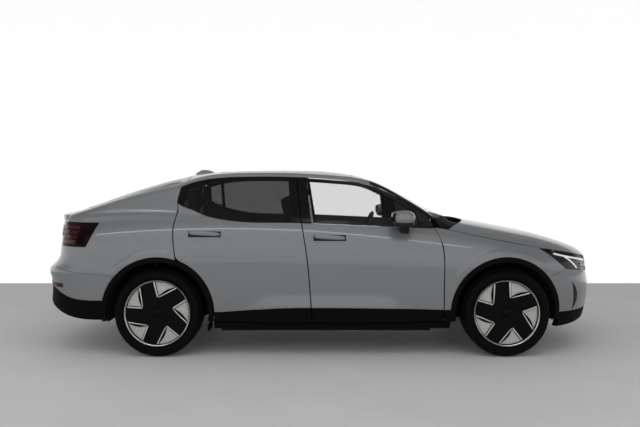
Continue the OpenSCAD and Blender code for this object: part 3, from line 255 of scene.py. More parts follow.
def cos_d(a):
    return max(0, math.cos(math.radians(a)))


def nose_at(a, z):
    return (MID_X + (nose_x(z) - MID_X) * sin_d(a) ** (2 / NOSE_POWER), z)


def nose_pt(a, z):
    x = nose_at(a, z)[0]
    return (x, -HALF_W * cos_d(a) ** (2 / NOSE_ROUND) * sill_side(x, z), z)


def tail_pt(a, z):
    x = MID_X + (tail_x(z) - MID_X) * sin_d(a) ** (2 / TAIL_POWER)
    return (x, -HALF_W * cos_d(a) ** (2 / TAIL_ROUND) * side_share(x, z), z)


def inward(p, q, d):
    tx, ty = q[0] - p[0], q[1] - p[1]
    n = math.hypot(tx, ty)
    return (p[0] - d * ty / n, p[1] + d * tx / n, p[2])


def nose_in(a, z, d):
    if a > 89.5:
        p = nose_pt(90, z)
        return (p[0] - d, p[1], p[2])
    return inward(nose_pt(a, z), nose_pt(a + 0.5, z), d)


def tail_in(a, z, d):
    if a > 89.5:
        p = tail_pt(90, z)
        return (p[0] + d, p[1], p[2])
    return inward(tail_pt(a, z), tail_pt(a + 0.5, z), -d)


# Shut lines
def arch_dx(z, r):
    return math.sqrt(max(0, r * r - (z - HUB_Z) ** 2))


ARCH_TOP_Z = HUB_Z + 0.947 * (TRIM_R + SHUT)


def door_rear(z):
    x = HALF_L * curve(DOOR_REAR, max(z, DOOR_REAR[0][0] * ROOF_H) / ROOF_H)
    return x if z > ARCH_TOP_Z else max(x, REAR_X + arch_dx(z, TRIM_R + SHUT))


# Meshes
def mesh_object(name, points, faces, smooth_angle=38):
    """Object with smooth shading that stays sharp at hard edges."""
    mesh = bpy.data.meshes.new(name)
    mesh.from_pydata([tuple(p) for p in points], [], faces)
    mesh.validate()
    mesh.polygons.foreach_set("use_smooth", [True] * len(mesh.polygons))
    mesh.set_sharp_from_angle(angle=math.radians(smooth_angle))
    obj = bpy.data.objects.new(name, mesh)
    bpy.context.scene.collection.objects.link(obj)
    return obj


def flipped(p):
    return (p[0], -p[1], p[2])


def dress(obj, material, body="body", nodes=(), bevel=0.0):
    """Gives a piece its material, its body and the nodes it stands for."""
    obj.data.materials.clear()
    obj.data.materials.append(material)
    if bevel:
        m = obj.modifiers.new("round", "BEVEL")
        m.width = bevel
        m.segments = 2
        m.limit_method = "ANGLE"
        m.angle_limit = math.radians(40)
        m.harden_normals = True
    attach(obj, body)
    if nodes:
        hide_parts(*nodes)
    return obj


def volume(points, faces):
    total = 0.0
    for f in faces:
        a = Vector(points[f[0]])
        for i in range(1, len(f) - 1):
            total += a.dot(Vector(points[f[i]]).cross(Vector(points[f[i + 1]])))
    return total


class Solid:
    """Points and faces of one or more closed shells, collected into one object."""

    def __init__(self):
        self.points, self.faces = [], []

    def add(self, points, faces):
        if volume(points, faces) < 0:
            faces = [f[::-1] for f in faces]
        k = len(self.points)
        self.points += points
        self.faces += [tuple(i + k for i in f) for f in faces]
        return self

    def shell(self, outer, inner, is_open=None, mirror=False):
        """Closed shell between two grids of points; is_open(i, j) leaves a cell out."""
        n, m = len(outer) - 1, len(outer[0]) - 1
        base = (n + 1) * (m + 1)

        def full(i, j):
            return 0 <= i < n and 0 <= j < m and not (is_open and is_open(i, j))

        def at(i, j):
            return i * (m + 1) + j

        faces = []
        for i in range(n):
            for j in range(m):
                if not full(i, j):
                    continue
                a, b, c, d = at(i, j), at(i + 1, j), at(i + 1, j + 1), at(i, j + 1)
                faces.append((a, b, c, d))
                faces.append((d + base, c + base, b + base, a + base))
                for there, p, q in ((full(i, j - 1), a, b), (full(i + 1, j), b, c),
                                    (full(i, j + 1), c, d), (full(i - 1, j), d, a)):
                    if not there:
                        faces.append((q, p, p + base, q + base))
        points = [p for c in outer for p in c] + [p for c in inner for p in c]
        if is_open:
            used = sorted({i for f in faces for i in f})
            new = {old: k for k, old in enumerate(used)}
            points = [points[i] for i in used]
            faces = [tuple(new[i] for i in f) for f in faces]
        self.add(points, faces)
        if mirror:
            self.add([flipped(p) for p in points], faces)
        return self

    def skin(self, columns, rows, at, outer, inner, is_open=None, mirror=False, fold=list):
        """Shell between two depths of the surface at(u, v, depth); fold completes or turns a grid."""
        near, far = (fold(grid(columns, rows, lambda u, v: at(u, v, d))) for d in (outer, inner))
        return self.shell(near, far, is_open, mirror)

    def box(self, lo, hi):
        (x0, y0, z0), (x1, y1, z1) = lo, hi
        return self.loft([[(x, y0, z0), (x, y1, z0), (x, y1, z1), (x, y0, z1)] for x in (x0, x1)])

    def revolve(self, profile, centre, side, steps=96):
        """Ring round the Y axis; the profile is (radius, distance outward) and closes on itself."""
        n = len(profile)
        points = []
        for k in range(steps):
            w = 2 * math.pi * k / steps
            for r, y in profile:
                x, z = centre[0] + r * math.sin(w), centre[2] + r * math.cos(w)
                points.append((x, centre[1] + side * y, z))
        faces = []
        for k in range(steps):
            for i in range(n):
                a, b = k * n + i, k * n + (i + 1) % n
                c, d = ((k + 1) % steps) * n + (i + 1) % n, ((k + 1) % steps) * n + i
                faces.append((a, b, c, d))
        return self.add(points, faces)

    def loft(self, rings):
        """Solid through a row of loops of points, closed at both ends."""
        n = len(rings[0])
        last = (len(rings) - 1) * n
        faces = [tuple(range(n))[::-1], tuple(range(last, last + n))]
        for start in range(0, last, n):
            for i in range(n):
                a, b = start + i, start + (i + 1) % n
                faces.append((a, b, b + n, a + n))
        return self.add([p for ring in rings for p in ring], faces)

    def done(self, name, material, body="body", slot=None, nodes=(), bevel=0.0, smooth_angle=38):
        obj = mesh_object(name, self.points, self.faces, smooth_angle)
        return dress(obj, material, body, nodes, bevel)


# Materials
def material(name, base, rough, metal=0.0, spread=0.08, scale=40.0, bump=0.0, bump_scale=400.0,
             **sockets):
    """Procedural surface: a base colour that drifts a little, and an optional fine grain."""
    mat = bpy.data.materials.new(name)
    mat.use_nodes = True
    tree = mat.node_tree
    shader = tree.nodes["Principled BSDF"]
    shader.inputs["Roughness"].default_value = rough
    shader.inputs["Metallic"].default_value = metal
    for key, value in sockets.items():
        shader.inputs[key.replace("_", " ")].default_value = value

    def node(kind, **values):
        made = tree.nodes.new(kind)
        for key, value in values.items():
            made.inputs[key].default_value = value
        return made

    def link(source, output, target, socket):
        tree.links.new(source.outputs[output], target.inputs[socket])

    place = node("ShaderNodeTexCoord")
    noise = node("ShaderNodeTexNoise", Scale=scale, Detail=3)
    ramp = node("ShaderNodeValToRGB")
    for end, at, shade in zip(ramp.color_ramp.elements, (0.35, 0.65), (1 - spread, 1 + spread)):
        end.position = at
        end.color = tuple(min(1, c * shade) for c in base) + (1,)
    link(place, "Object", noise, "Vector")
    link(noise, "Fac", ramp, "Fac")
    link(ramp, "Color", shader, "Base Color")
    if bump:
        grain = node("ShaderNodeTexNoise", Scale=bump_scale)
        relief = node("ShaderNodeBump", Strength=bump, Distance=0.001)
        link(place, "Object", grain, "Vector")
        link(grain, "Fac", relief, "Height")
        link(relief, "Normal", shader, "Normal")
    return mat


PAINT = material("grey_paint", (0.2, 0.205, 0.212), 0.42, 0.25, 0.03, 900, Coat_Weight=0.8,
                 Coat_Roughness=0.03)
CLADDING = material("black_cladding", (0.003, 0.003, 0.0033), 0.65, 0, 0.12, 60, 0.25, 700,
                    Specular_IOR_Level=0.06)
GLOSS = material("black_gloss", (0.002, 0.002, 0.0022), 0.06, 0, 0.1, 20, Specular_IOR_Level=0.3)
RUBBER = material("tyre_rubber", (0.0025, 0.0025, 0.0027), 0.7, 0, 0.15, 50, 0.3, 500,
                  Specular_IOR_Level=0.08)
WHEEL_BLACK = material("wheel_black", (0.0012, 0.0012, 0.0013), 0.25, 0, 0.1, 60, Specular_IOR_Level=0.1)
INSERT = material("wheel_insert", (0.5, 0.49, 0.46), 0.5, 0.1, 0.06, 60)
MACHINED = material("machined_alloy", (0.72, 0.71, 0.69), 0.28, 0.85, 0.05, 300)
BARREL = material("barrel_alloy", (0.6, 0.59, 0.56), 0.35, 0.7, 0.06, 80)
STEEL = material("cast_steel", (0.22, 0.21, 0.2), 0.5, 0.8, 0.15, 90)
DARK_STEEL = material("painted_steel", (0.02, 0.02, 0.021), 0.6, 0.3, 0.15, 90, Specular_IOR_Level=0.2)
TAIL_LENS = material("tail_lens", (0.006, 0.0008, 0.001), 0.12, 0, 0.2, 40, Specular_IOR_Level=0.1)
UNDER = material("underbody", (0.008, 0.008, 0.0085), 0.8, 0, 0.2, 40, Specular_IOR_Level=0.2)
CABIN_TRIM = material("cabin_trim", (0.03, 0.03, 0.031), 0.65, 0, 0.15, 120, 0.3, 900)
CLOTH = material("seat_cloth", (0.045, 0.045, 0.048), 0.9, 0, 0.25, 700, 0.5, 1500)
RED_LAMP = material("red_lamp", (0.045, 0.0015, 0.002), 0.12, 0, 0.15, 30, Specular_IOR_Level=0.3)
WHITE_LAMP = material("white_lamp", (0.75, 0.76, 0.78), 0.25, 0, 0.04, 90, Emission_Color=(1, 1, 1, 1),
                      Emission_Strength=0.6)
LENS_DARK = material("lamp_inside", (0.012, 0.012, 0.014), 0.2, 0.2, 0.2, 60)


def glass(name, tint, dark):
    """Thin tinted pane: a share of the light goes straight through, the rest is gloss."""
    mat = material(name, tint, 0.03, 0, 0.05, 15)
    mat.node_tree.nodes["Principled BSDF"].inputs["Alpha"].default_value = dark
    return mat


CLEAR_GLASS = glass("clear_glass", (0.02, 0.024, 0.024), 0.1)
DARK_GLASS = glass("dark_glass", (0.003, 0.003, 0.0035), 0.5)


def finer(values, k):
    """The same list of shares with each step cut in k."""
    return [mix(a, b, i / k) for a, b in zip(values, values[1:]) for i in range(k)] + [values[-1]]


def grid(columns, rows, at):
    return [[at(u, v) for v in rows] for u in columns]


def opening(i0, i1, j0, j1):
    """Marks the cells of a shell that stay open, by column and row."""
    return lambda i, j: i0 <= i < i1 and j0 <= j < j1


def whole(cols):
    """A half grid, from the right side to the middle, with its mirror image."""
    return cols + [[flipped(p) for p in c] for c in cols[-2::-1]]


# Doors: columns from front to rear, rows from the sill to the belt and on to the roof rail
DOOR_LOW = 0.187 * ROOF_H
BELT_ROWS = [0, 0.1, 0.25, 0.4, 0.55, 0.7, 0.82, 0.92, 1]
FRAME_W = 0.03
FRONT_S = [0, 0.05, 0.1, 0.18, 0.28, 0.38, 0.48, 0.58, 0.68, 0.78, 0.86, 0.93, 1]
REAR_S = [0, 0.07, 0.14, 0.24, 0.34, 0.44, 0.54, 0.64, 0.74, 0.82, 0.85, 0.9, 0.955, 1]
FRONT_PANES = [(2, 11)]
REAR_PANES = [(1, 9), (10, 12)]
GATE_CORNER_X = -0.501 * HALF_L
BELT_FRONT_X, BELT_MID_X = door_front(0.68 * ROOF_H), door_mid(0.706 * ROOF_H)
BELT_REAR_X = -0.512 * HALF_L
ROOF_FRONT_X, ROOF_MID_X = 0.368 * HALF_L, -0.094 * HALF_L
KICK, KICK_Z, KICK_H = 0.026, 0.488, 0.1
KICK_FROM, KICK_TO, KICK_FADE, KICK_DROP = -0.78, 0.84, 0.4, 0.13
BAND_STAND = 0.005
BAND_Z = [(-0.8, 0.354), (-0.3, 0.388), (0.0, 0.39), (0.5, 0.384), (0.95, 0.37)]


def kick(x, z):
    """How far the lower door stands out below its crease."""
    ends = ease((x - KICK_FROM) / KICK_FADE) * ease((KICK_TO - x) / KICK_FADE)
    low = KICK_Z - KICK_DROP * (1 - ends)
    return KICK * ends * min(1, max(0, (low - z) / KICK_H))


def door_pt(front, s, row):
    """Place in length and height; rows 0 to 1 reach the belt, 1 to 2 the window, 2 to 3 its frame."""
    if front:
        top_a, top_b, roof_a, roof_b = BELT_FRONT_X, BELT_MID_X, ROOF_FRONT_X, ROOF_MID_X
    else:
        top_a, top_b, roof_a, roof_b = BELT_MID_X - SHUT, BELT_REAR_X, ROOF_MID_X - SHUT, GATE_CORNER_X
    bz = belt(mix(top_a, top_b, s))
    z = mix(DOOR_LOW, bz, min(row, 1))
    x = mix(*door_ends(front, z), s)
    if row <= 1:
        return (x, z)
    tx = mix(roof_a, roof_b, s)
    tz = rail_z(tx)
    wz = tz - FRAME_W
    low = (mix(x, tx, (wz - bz) / (tz - bz)), wz)
    return mix((x, bz), low, row - 1) if row <= 2 else mix(low, (tx, tz), row - 2)


def door_ends(front, z):
    """Front and rear edge of a door at one height."""
    return (door_front(z), door_mid(z)) if front else (door_mid(z) - SHUT, door_rear(z))


def door_depth(row):
    if row > 1:
        return mix(1.5 * FRAME_T, FRAME_T, min(1, row - 1))
    return mix(DOOR_T, 1.5 * FRAME_T, ease((row - 0.4) / 0.6))


def on_side(q, d=0.0):
    return (q[0] + SLANT * d, d - side_y(*q), q[1])


def door_turn(s, row):
    """Way in which a door's inner edge slants, back at its hinges and forward behind them."""
    if row > 1:
        return 1
    return mix(mix(-1, 1, ease(3 * s)), min(1, 15 * s), ease((row - 0.92) / 0.08))


def door_skin(front, s, row, d):
    q = door_pt(front, s, row)
    x, y, z = on_side(q, d)
    if d:
        return (q[0] + SLANT * d * door_turn(s, row), y, z)
    return (x, y - kick(*q), z)


def turned(cols, side):
    return cols if side < 0 else [[flipped(p) for p in c] for c in cols]


HANDLE_FRONT, HANDLE_REAR = (-0.03, 0.635), (-0.457, 0.655)
HANDLE_L, HANDLE_H, HANDLE_PROUD, HANDLE_TILT, HANDLE_SIDES = 0.105 * HALF_L, 0.034, 0.02, -0.012, 12


def handle(front, side):
    """Rings of a grab bar that stands a little off the door."""
    x0, z0 = HANDLE_FRONT if front else HANDLE_REAR
    x0, z0 = x0 * HALF_L, z0 * ROOF_H
    rings = []
    for u in upto(24):
        x = x0 + HANDLE_L * u
        swell = math.sqrt(max(0.0, 1 - abs(2 * u - 1) ** 6))
        ring = []
        for k in range(HANDLE_SIDES):
            a = 2 * math.pi * k / HANDLE_SIDES
            out = power(math.cos(a), 0.6) * max(0.3, swell)
            rise = power(math.sin(a), 0.6) * max(0.35, swell)
            y = -side_y(x, z0) - HANDLE_PROUD * (0.35 + 0.6 * out)
            ring.append((x, y, z0 + HANDLE_TILT * (u - 0.5) + 0.5 * HANDLE_H * rise))
        rings.append(ring)
    return turned(rings, side)


# Dark plate a little larger than each grab handle and set lower: painted shadow round and under the
# handle
SHADOW_PLATE_FRONT, SHADOW_PLATE_REAR = (-0.033, 0.6315), (-0.46, 0.6515)
SHADOW_PLATE_W, SHADOW_PLATE_H, SHADOW_PLATE_PROUD, SHADOW_PLATE_DEEP = 0.111 * HALF_L, 0.022, 0.0015, 0.006
PANE_CUT, PANE_ROWS, PANE_D = 4, 12, 0.006
SAIL_FROM, SAIL_TO, SAIL_D, SAIL_T = 0.1, 0.27, 0.014, 0.004


def door(front, side):
    """One door: panel with its handle, a dark plate of painted shadow round and under the handle, window
    frame, pane and the black band at its foot.
    """
    tag = ("front" if front else "rear") + "_" + ("right" if side < 0 else "left")
    body = "door_" + tag
    coarse = FRONT_S if front else REAR_S
    panes = FRONT_PANES if front else REAR_PANES
    cols = finer(coarse, PANE_CUT)

    def to_side(cells):
        return turned(cells, side)

    def skin_at(s, r, is_inner):
        return door_skin(front, s, r, door_depth(r) if is_inner else 0)

    def pane_at(s, r, d):
        return on_side(door_pt(front, s, r), d)

    def shadow_plate_at(x, z, d):
        return (x, d - side_y(x, z), z)

    def band_at(s, r, is_outer):
        z = mix(DOOR_LOW, curve(BAND_Z, door_pt(front, s, 0)[0]), r)
        q = (mix(*door_ends(front, z), s), z)
        x, y, z = on_side(q)
        return (x, y - kick(*q) - BAND_STAND if is_outer else y + BAND_STAND, z)

    def is_open(i, j):
        return j < PANE_ROWS and any(a * PANE_CUT <= i < b * PANE_CUT for a, b in panes)

    # Painted handle shadow: a black gloss plate just proud of the door, round and below the handle
    x0, z0 = SHADOW_PLATE_FRONT if front else SHADOW_PLATE_REAR
    shadow_plate_cols = [x0 * HALF_L + SHADOW_PLATE_W * u for u in upto(16)]
    shadow_plate_rows = [z0 * ROOF_H + SHADOW_PLATE_H * v for v in (-1, 0, 1)]
    shadow_plate = Solid().skin(shadow_plate_cols, shadow_plate_rows, shadow_plate_at, -SHADOW_PLATE_PROUD, SHADOW_PLATE_DEEP, fold=to_side)
    shadow_plate.done(body + "_handle_painted_shadow", GLOSS, body, "black_trim")
    panel = Solid().skin(cols, finer(BELT_ROWS, 5), skin_at, False, True, fold=to_side)
    panel.loft(handle(front, side))
    panel.done(body + "_panel", PAINT, body, "body_paint", (body,), 0.0025)
    up_rows = [1 + v for v in upto(PANE_ROWS)] + [2.5, 3]
    surround = Solid().skin(cols, up_rows, skin_at, False, True, is_open, fold=to_side)
    surround.done(body + "_window_frame", GLOSS, body, "black_trim", (), 0.0015)
    if front:
        sail_cols, sail_rows = [mix(SAIL_FROM, SAIL_TO, u) for u in upto(10)], [1 + v for v in upto(8)]
        sail = Solid().skin(sail_cols, sail_rows, pane_at, SAIL_D, SAIL_D + SAIL_T, fold=to_side)
        sail.done(body + "_mirror_panel", GLOSS, body, "black_trim")
    glazing = Solid()
    for a, b in panes:
        pane_cols, pane_rows = finer(coarse[a:b + 1], PANE_CUT), [1 + v for v in upto(10)]
        glazing.skin(pane_cols, pane_rows, pane_at, PANE_D, PANE_D + GLASS_T, fold=to_side)
    glazing.done("glass_%s_pane" % tag, CLEAR_GLASS if front else DARK_GLASS, body,
                 "clear_glass" if front else "dark_glass", ("glass_" + tag,))
    band = Solid().skin(upto(40), upto(6), band_at, True, False, fold=to_side)
    band.done(body + "_cladding", CLADDING, body, "black_plastic", (), 0.004)


for is_front in (True, False):
    for hand in (-1, 1):
        door(is_front, hand)

# Front end, over the angle round the nose
HOOD_NOSE = 0.474
LAMP_TIP_X = 0.744 * HALF_L
LAMP_END_X = MID_X + (nose_x(WAIST_Z) - MID_X) * (1 - HOOD_NOSE ** 2) ** (1 / NOSE_POWER)
LAMP_B = math.degrees(math.acos(HOOD_NOSE))
HOOD_T, HOOD_INSET = 0.024, 1.2
HOOD_MID, HOOD_CORNER = 0.53 * HALF_L, 0.437 * HALF_L


def hood_lead(f):
    return MID_X + (nose_x(WAIST_Z) - MID_X) * (1 - (f * HOOD_NOSE) ** 2) ** (1 / NOSE_POWER) - SHUT


def hood_back(f):
    return mix(HOOD_MID, HOOD_CORNER, abs(f) ** 2.4)


def hood_pt(f, u, d):
    k = HOOD_INSET * d
    x = mix(hood_back(f) + k, hood_lead(f) - k, u)
    y = f * (hood_y(x) - SHUT - k)
    return (x, y, hood_z(x, y) - d)


def nose_angle(x, z):
    return math.degrees(math.asin(min(1, ((x - MID_X) / (nose_x(z) - MID_X)) ** (NOSE_POWER / 2))))


def lamp_top(x):
    return (nose_angle(x, WAIST_Z), hood_z(x, hood_y(x)))


LAMP_LOW = [(29.5, 0.461 * ROOF_H), (46, 0.442 * ROOF_H), (LAMP_B, 0.427 * ROOF_H)]
LAMP_HIGH = [lamp_top(mix(LAMP_TIP_X, LAMP_END_X, 1 - (1 - u) ** 1.4)) for u in upto(4)]
LAMP_BACK = [LAMP_LOW[0], (24, 0.515 * ROOF_H), LAMP_HIGH[0]]
LAMP_FRONT = [LAMP_LOW[2], LAMP_HIGH[4]]
SKIN_T, DROP = 0.026, 1.4
LIP_HIGH, LIP_LOW = 0.23 * ROOF_H, 0.148 * ROOF_H
LIP_RISE = 0.25 * (LIP_HIGH - LIP_LOW)
CORNER_Z = 0.42 * ROOF_H
STEP_A = 0.4


def arch_nose(z):
    return nose_angle(FRONT_X + arch_dx(z, TRIM_R + SEAT), z)


CORNER_A = arch_nose(CORNER_Z)


def lead_pt(a):
    f = min(1, cos_d(a) / HOOD_NOSE)
    x = hood_lead(f) + SHUT
    y = f * (hood_y(x) - 2 * SEAT)
    return (x, -y, hood_z(x, y) - SEAT)


fascia_side = (CORNER_A, CORNER_Z - SEAT), (LAMP_LOW[0][0], LAMP_LOW[0][1] - SEAT)
FASCIA_HIGH = [mix(*fascia_side, u) for u in upto(8)[:-1]]
FASCIA_HIGH += [(q[0], q[1] - SEAT) for q in (along(LAMP_LOW, u) for u in upto(24))]
FASCIA_HIGH += [(a, lead_pt(a)[2]) for a in (mix(LAMP_B + STEP_A, 90, u) for u in upto(20))]


def fascia_pt(a, z, k):
    p = nose_pt(a, z)
    return p if k == 0 else mix(p, lead_pt(a)[:2] + (z,), k)


def fascia_at(q, v):
    z = mix(LIP_HIGH, q[1], v)
    t = (q[0] - CORNER_A) / (90 - CORNER_A)
    a = q[0] + (arch_nose(min(z, CORNER_Z)) - CORNER_A) * (1 - t) ** 2
    return a, z, (ease((v - 0.6) / 0.4) if q[0] > LAMP_B else 0)


def fascia_in(q, v, d):
    a, z, k = fascia_at(q, v)
    if a > 89.5:
        p = fascia_pt(90, z, k)
        p = (p[0] - d, p[1], p[2])
    else:
        p = inward(fascia_pt(a, z, k), fascia_pt(a + STEP_A, z, k), d) if d else fascia_pt(a, z, k)
    return (p[0], p[1], p[2] - DROP * d * v ** 6)


GRILLE_FROM, GRILLE_ROWS = 33, (4, 12)
columns = len(FASCIA_HIGH) - 1
inlet = opening(GRILLE_FROM, 2 * columns - GRILLE_FROM, *GRILLE_ROWS)
bumper = Solid().skin(FASCIA_HIGH, upto(24), fascia_in, 0, SKIN_T, inlet, fold=whole)
bumper.done("front_bumper_skin", PAINT, "body", "body_paint", ("front_bumper",), 0.003)

# Wings, over their four edges
def arch_pt(hub_x, r, a):
    w = math.radians(a)
    return (hub_x + r * math.cos(w), HUB_Z + r * math.sin(w))


def arch_line(hub_x, a, b, r, steps=10):
    return [arch_pt(hub_x, r, mix(a, b, u)) for u in upto(steps)]


WING_FOOT = DOOR_LOW - SHUT + SEAT
WING_T = 0.022
wing_low = [(door_front(WING_FOOT) + SHUT, WING_FOOT)] + arch_line(
    FRONT_X, 187.5, math.degrees(math.asin((CORNER_Z - HUB_Z) / (TRIM_R + SEAT))), TRIM_R + SEAT)


def lamp_edge(v):
    low, mid, high = LAMP_BACK
    q = mix(low, mid, 2 * v) if v < 0.5 else mix(mid, high, 2 * v - 1)
    x, z = nose_at(*q)
    return (x - 4 * SEAT, z)


def hood_line(x):
    return (x, hood_z(x, hood_y(x)))


wing_back_x = door_front(0.69 * ROOF_H) + SHUT
wing_high = [hood_line(mix(wing_back_x, lamp_edge(1)[0], u ** 1.6)) for u in upto(10)]
wing_back = [(door_front(z) + SHUT, z) for z in (mix(WING_FOOT, wing_high[0][1], v) for v in upto(6))]
wing_front = [wing_low[11], mix(wing_low[11], lamp_edge(0), 0.5)]
wing_front += [lamp_edge(v) for v in (0, 0.25, 0.5, 0.75)] + [wing_high[10]]


def wing_pt(u, v, d):
    q = coons(wing_low, wing_high, wing_back, wing_front, u, v)
    g = math.radians(90 * v ** 3)
    shift = SLANT * d * (1 - v) if u == 0 else 0
    return (q[0] + shift, d * math.cos(g) - wing_y(*q), q[1] - d * math.sin(g))


wings = Solid().skin(upto(55), upto(36), wing_pt, 0, WING_T, mirror=True)
wings.done("wing_skins", PAINT, "body", "body_paint", ("wings",), 0.0025)


def wing_band_pt(u, v, d):
    z = mix(WING_FOOT, curve(BAND_Z, door_front(WING_FOOT)), v)
    x = mix(door_front(z) + SHUT, FRONT_X - arch_dx(z, TRIM_R), u)
    return (x, d - wing_y(x, z), z)


wing_bands = Solid().skin(upto(6), upto(6), wing_band_pt, -BAND_STAND, BAND_STAND, mirror=True)
wing_bands.done("wing_foot_bands", CLADDING, "body", "black_plastic", (), 0.002)

# Bonnet
hood_f = [math.sin(math.radians(90 * i / 24)) for i in range(-24, 25)]
bonnet = Solid().skin(hood_f, upto(48), hood_pt, 0, HOOD_T)
bonnet.done("bonnet_skin", PAINT, "bonnet", "body_paint", ("bonnet",), 0.003)

# Roof, screens and rails
SCREEN_TOP, ROOF_BACK, ROOF_T = 0.145 * HALF_L, -0.487 * HALF_L, 0.028
COWL_MID, COWL_SIDE = 0.467 * HALF_L, 0.395 * HALF_L
PANE_SINK, ROOF_GLASS_T = 0.001, 0.01


def cowl_x(f):
    return mix(COWL_MID, COWL_SIDE, f ** 2)


def top_pt(x, f, gap, d):
    """Point of the roof surface at share f of its width, a gap short of its edge."""
    y = f * (edge_y(x) - gap)
    return (x, y, top_z(x, y) - d)


def screen_pt(f, u, d):
    return top_pt(mix(cowl_x(f), SCREEN_TOP, u), f, SEAT, d)


def roof_pt(f, u, d):
    return top_pt(mix(SCREEN_TOP - SEAT, ROOF_BACK, u), f, SEAT, d)


ROOF_F = [-1, -0.94, -0.86, -0.6, -0.3, 0, 0.3, 0.6, 0.86, 0.94, 1]
ROOF_U = [0, 0.06, 0.2, 0.34, 0.48, 0.62, 0.74, 0.82, 0.92, 1]
across = finer([-1, -0.5, 0, 0.5, 1], 12)
windscreen = Solid().skin(across, upto(36), screen_pt, 0, GLASS_T)
windscreen.done("windscreen_pane", CLEAR_GLASS, "body", "clear_glass", ("windscreen",))
roof_f, roof_u = finer(ROOF_F, 4), finer(ROOF_U, 4)
roof = Solid().skin(roof_f, roof_u, roof_pt, 0, ROOF_T, opening(8, 32, 4, 28))
roof.done("roof_skin", PAINT, "body", "body_paint", ("roof",), 0.002)
glass_f, glass_u = finer(ROOF_F[2:9], 4), finer(ROOF_U[1:8], 4)
roof_glass = Solid().skin(glass_f, glass_u, roof_pt, PANE_SINK, PANE_SINK + ROOF_GLASS_T)
roof_glass.done("roof_glass_pane", DARK_GLASS, "body", "dark_glass", ("roof_glass",))

RAIL_FRONT = 0.3885 * HALF_L
PILLAR_X = 0.165 * HALF_L
RAIL_LEAN, RAIL_BULGE, RAIL_UNDER = 0.6 * LEAN, 0.78, 0.7 * FRAME_T


def rail_q(x, v):
    az = rail_z(x) + SHUT
    a, b = (side_y(x, az), az), (edge_y(x), edge_z(x))
    c = (a[0] - RAIL_LEAN * (b[1] - a[1]), mix(a[1], b[1], RAIL_BULGE))
    y, z = mix(mix(a, c, v), mix(c, b, v), v)
    return (x, -y, z)


def rail_in(x, v):
    p, g = rail_q(x, v), math.radians(90 * v)
    return (p[0], p[1] + FRAME_T * math.cos(g), p[2] - RAIL_UNDER * math.sin(g))


def rail_piece(name, x0, x1, steps, mat, slot, nodes):
    xs = [mix(x0, x1, u) for u in upto(steps)]
    piece = Solid().shell(grid(xs, upto(10), rail_q), grid(xs, upto(10), rail_in), mirror=True)
    piece.done(name, mat, "body", slot, nodes, 0.002)


rail_piece("roof_rail_skins", PILLAR_X - SEAT, CORNER_X, 110, PAINT, "body_paint", ("roof_rails",))
rail_piece("front_pillar_skins", RAIL_FRONT, PILLAR_X, 30, GLOSS, "black_trim", ())

# Rear quarters
QUARTER_CUT, QUARTER_FOOT, QUARTER_HEAD = 0.435 * ROOF_H, 0.478 * ROOF_H, 0.715 * ROOF_H
QUARTER_A, QUARTER_R, QUARTER_T = 42, TRIM_R + SEAT, 0.024


def quarter_end(v):
    return tail_pt(QUARTER_A, mix(QUARTER_FOOT, QUARTER_HEAD, v))


quarter_from = math.degrees(math.acos((door_rear(ARCH_TOP_Z) - SHUT - REAR_X) / QUARTER_R))
quarter_to = 180 - math.degrees(math.asin((QUARTER_CUT - HUB_Z) / QUARTER_R))
quarter_low = arch_line(REAR_X, quarter_from, quarter_to, QUARTER_R)
quarter_low += [(mix(REAR_X - arch_dx(QUARTER_CUT, QUARTER_R), quarter_end(0)[0], 1 - (1 - u) ** 2),
                 mix(QUARTER_CUT, QUARTER_FOOT, ease(u))) for u in (0.25, 0.5, 0.75, 1)]
quarter_top_x = GATE_CORNER_X - SHUT
quarter_high = []
for u in upto(14):
    x = mix(quarter_top_x, quarter_end(1)[0], 1 - (1 - u) ** 1.5)
    quarter_high.append((x, QUARTER_HEAD if u == 1 else rail_z(x) + SHUT - SEAT))
quarter_front = []
for v in upto(10):
    z = mix(quarter_low[0][1], quarter_high[0][1], v)
    quarter_front.append((door_rear(z) - SHUT, z))
quarter_front[0], quarter_front[-1] = quarter_low[0], (quarter_top_x, quarter_front[-1][1])
quarter_rear = [(quarter_end(v)[0], quarter_end(v)[2]) for v in upto(6)]


def quarter_pt(u, v, d):
    q = coons(quarter_low, quarter_high, quarter_front, quarter_rear, u, v)
    w = ease((u - 0.6) / 0.4)
    return (q[0] + d * w, d * (1 - w) - side_y(*q), q[1])


quarters = Solid().skin(upto(70), upto(50), quarter_pt, 0, QUARTER_T, mirror=True)
quarters.done("quarter_skins", PAINT, "body", "body_paint", ("quarter_panels",), 0.0025)

# Tailgate
GATE_FRONT, GATE_LOW, GATE_T = ROOF_BACK - SHUT, 0.487 * ROOF_H, 0.034
LIP_Z, LIP_OUT = 0.735 * ROOF_H, 0.016
GATE_F = [-1, -0.93, -0.7, -0.35, 0, 0.35, 0.7, 0.93, 1]
GATE_U = [0, 0.07, 0.2, 0.35, 0.5, 0.65, 0.78, 0.9, 1]
GATE_DOWN = [0.06, 0.2, 0.35, 0.55, 0.75, 1]


def gate_tail(f, z):
    a = math.degrees(math.acos(abs(f) ** (TAIL_ROUND / 2) * cos_d(QUARTER_A)))
    p = tail_pt(a, z)
    sign = (f > 0) - (f < 0)
    return (p[0], -sign * p[1] - f * SHUT, z)


def gate_top(f, u, d):
    return top_pt(mix(GATE_FRONT, gate_tail(f, LIP_Z)[0] - LIP_OUT, u), f, SHUT, d)


def gate_rear(f, v, d):
    t = gate_top(f, 1, 0)
    z = mix(t[2], GATE_LOW, v)
    p = gate_tail(f, z)
    k = ease(v * 4)
    return (mix(t[0], p[0], k) + d, mix(t[1], p[1], k), z)


def gate_at(f, s, d):
    """Row s of the tailgate: 0 to 1 down the screen, 1 to 2 down the tail."""
    if s < 1:
        return gate_top(f, s, d)
    if s == 1:
        p = gate_top(f, 1, d)
        return (p[0] + d, p[1], p[2])
    return gate_rear(f, s - 1, d)


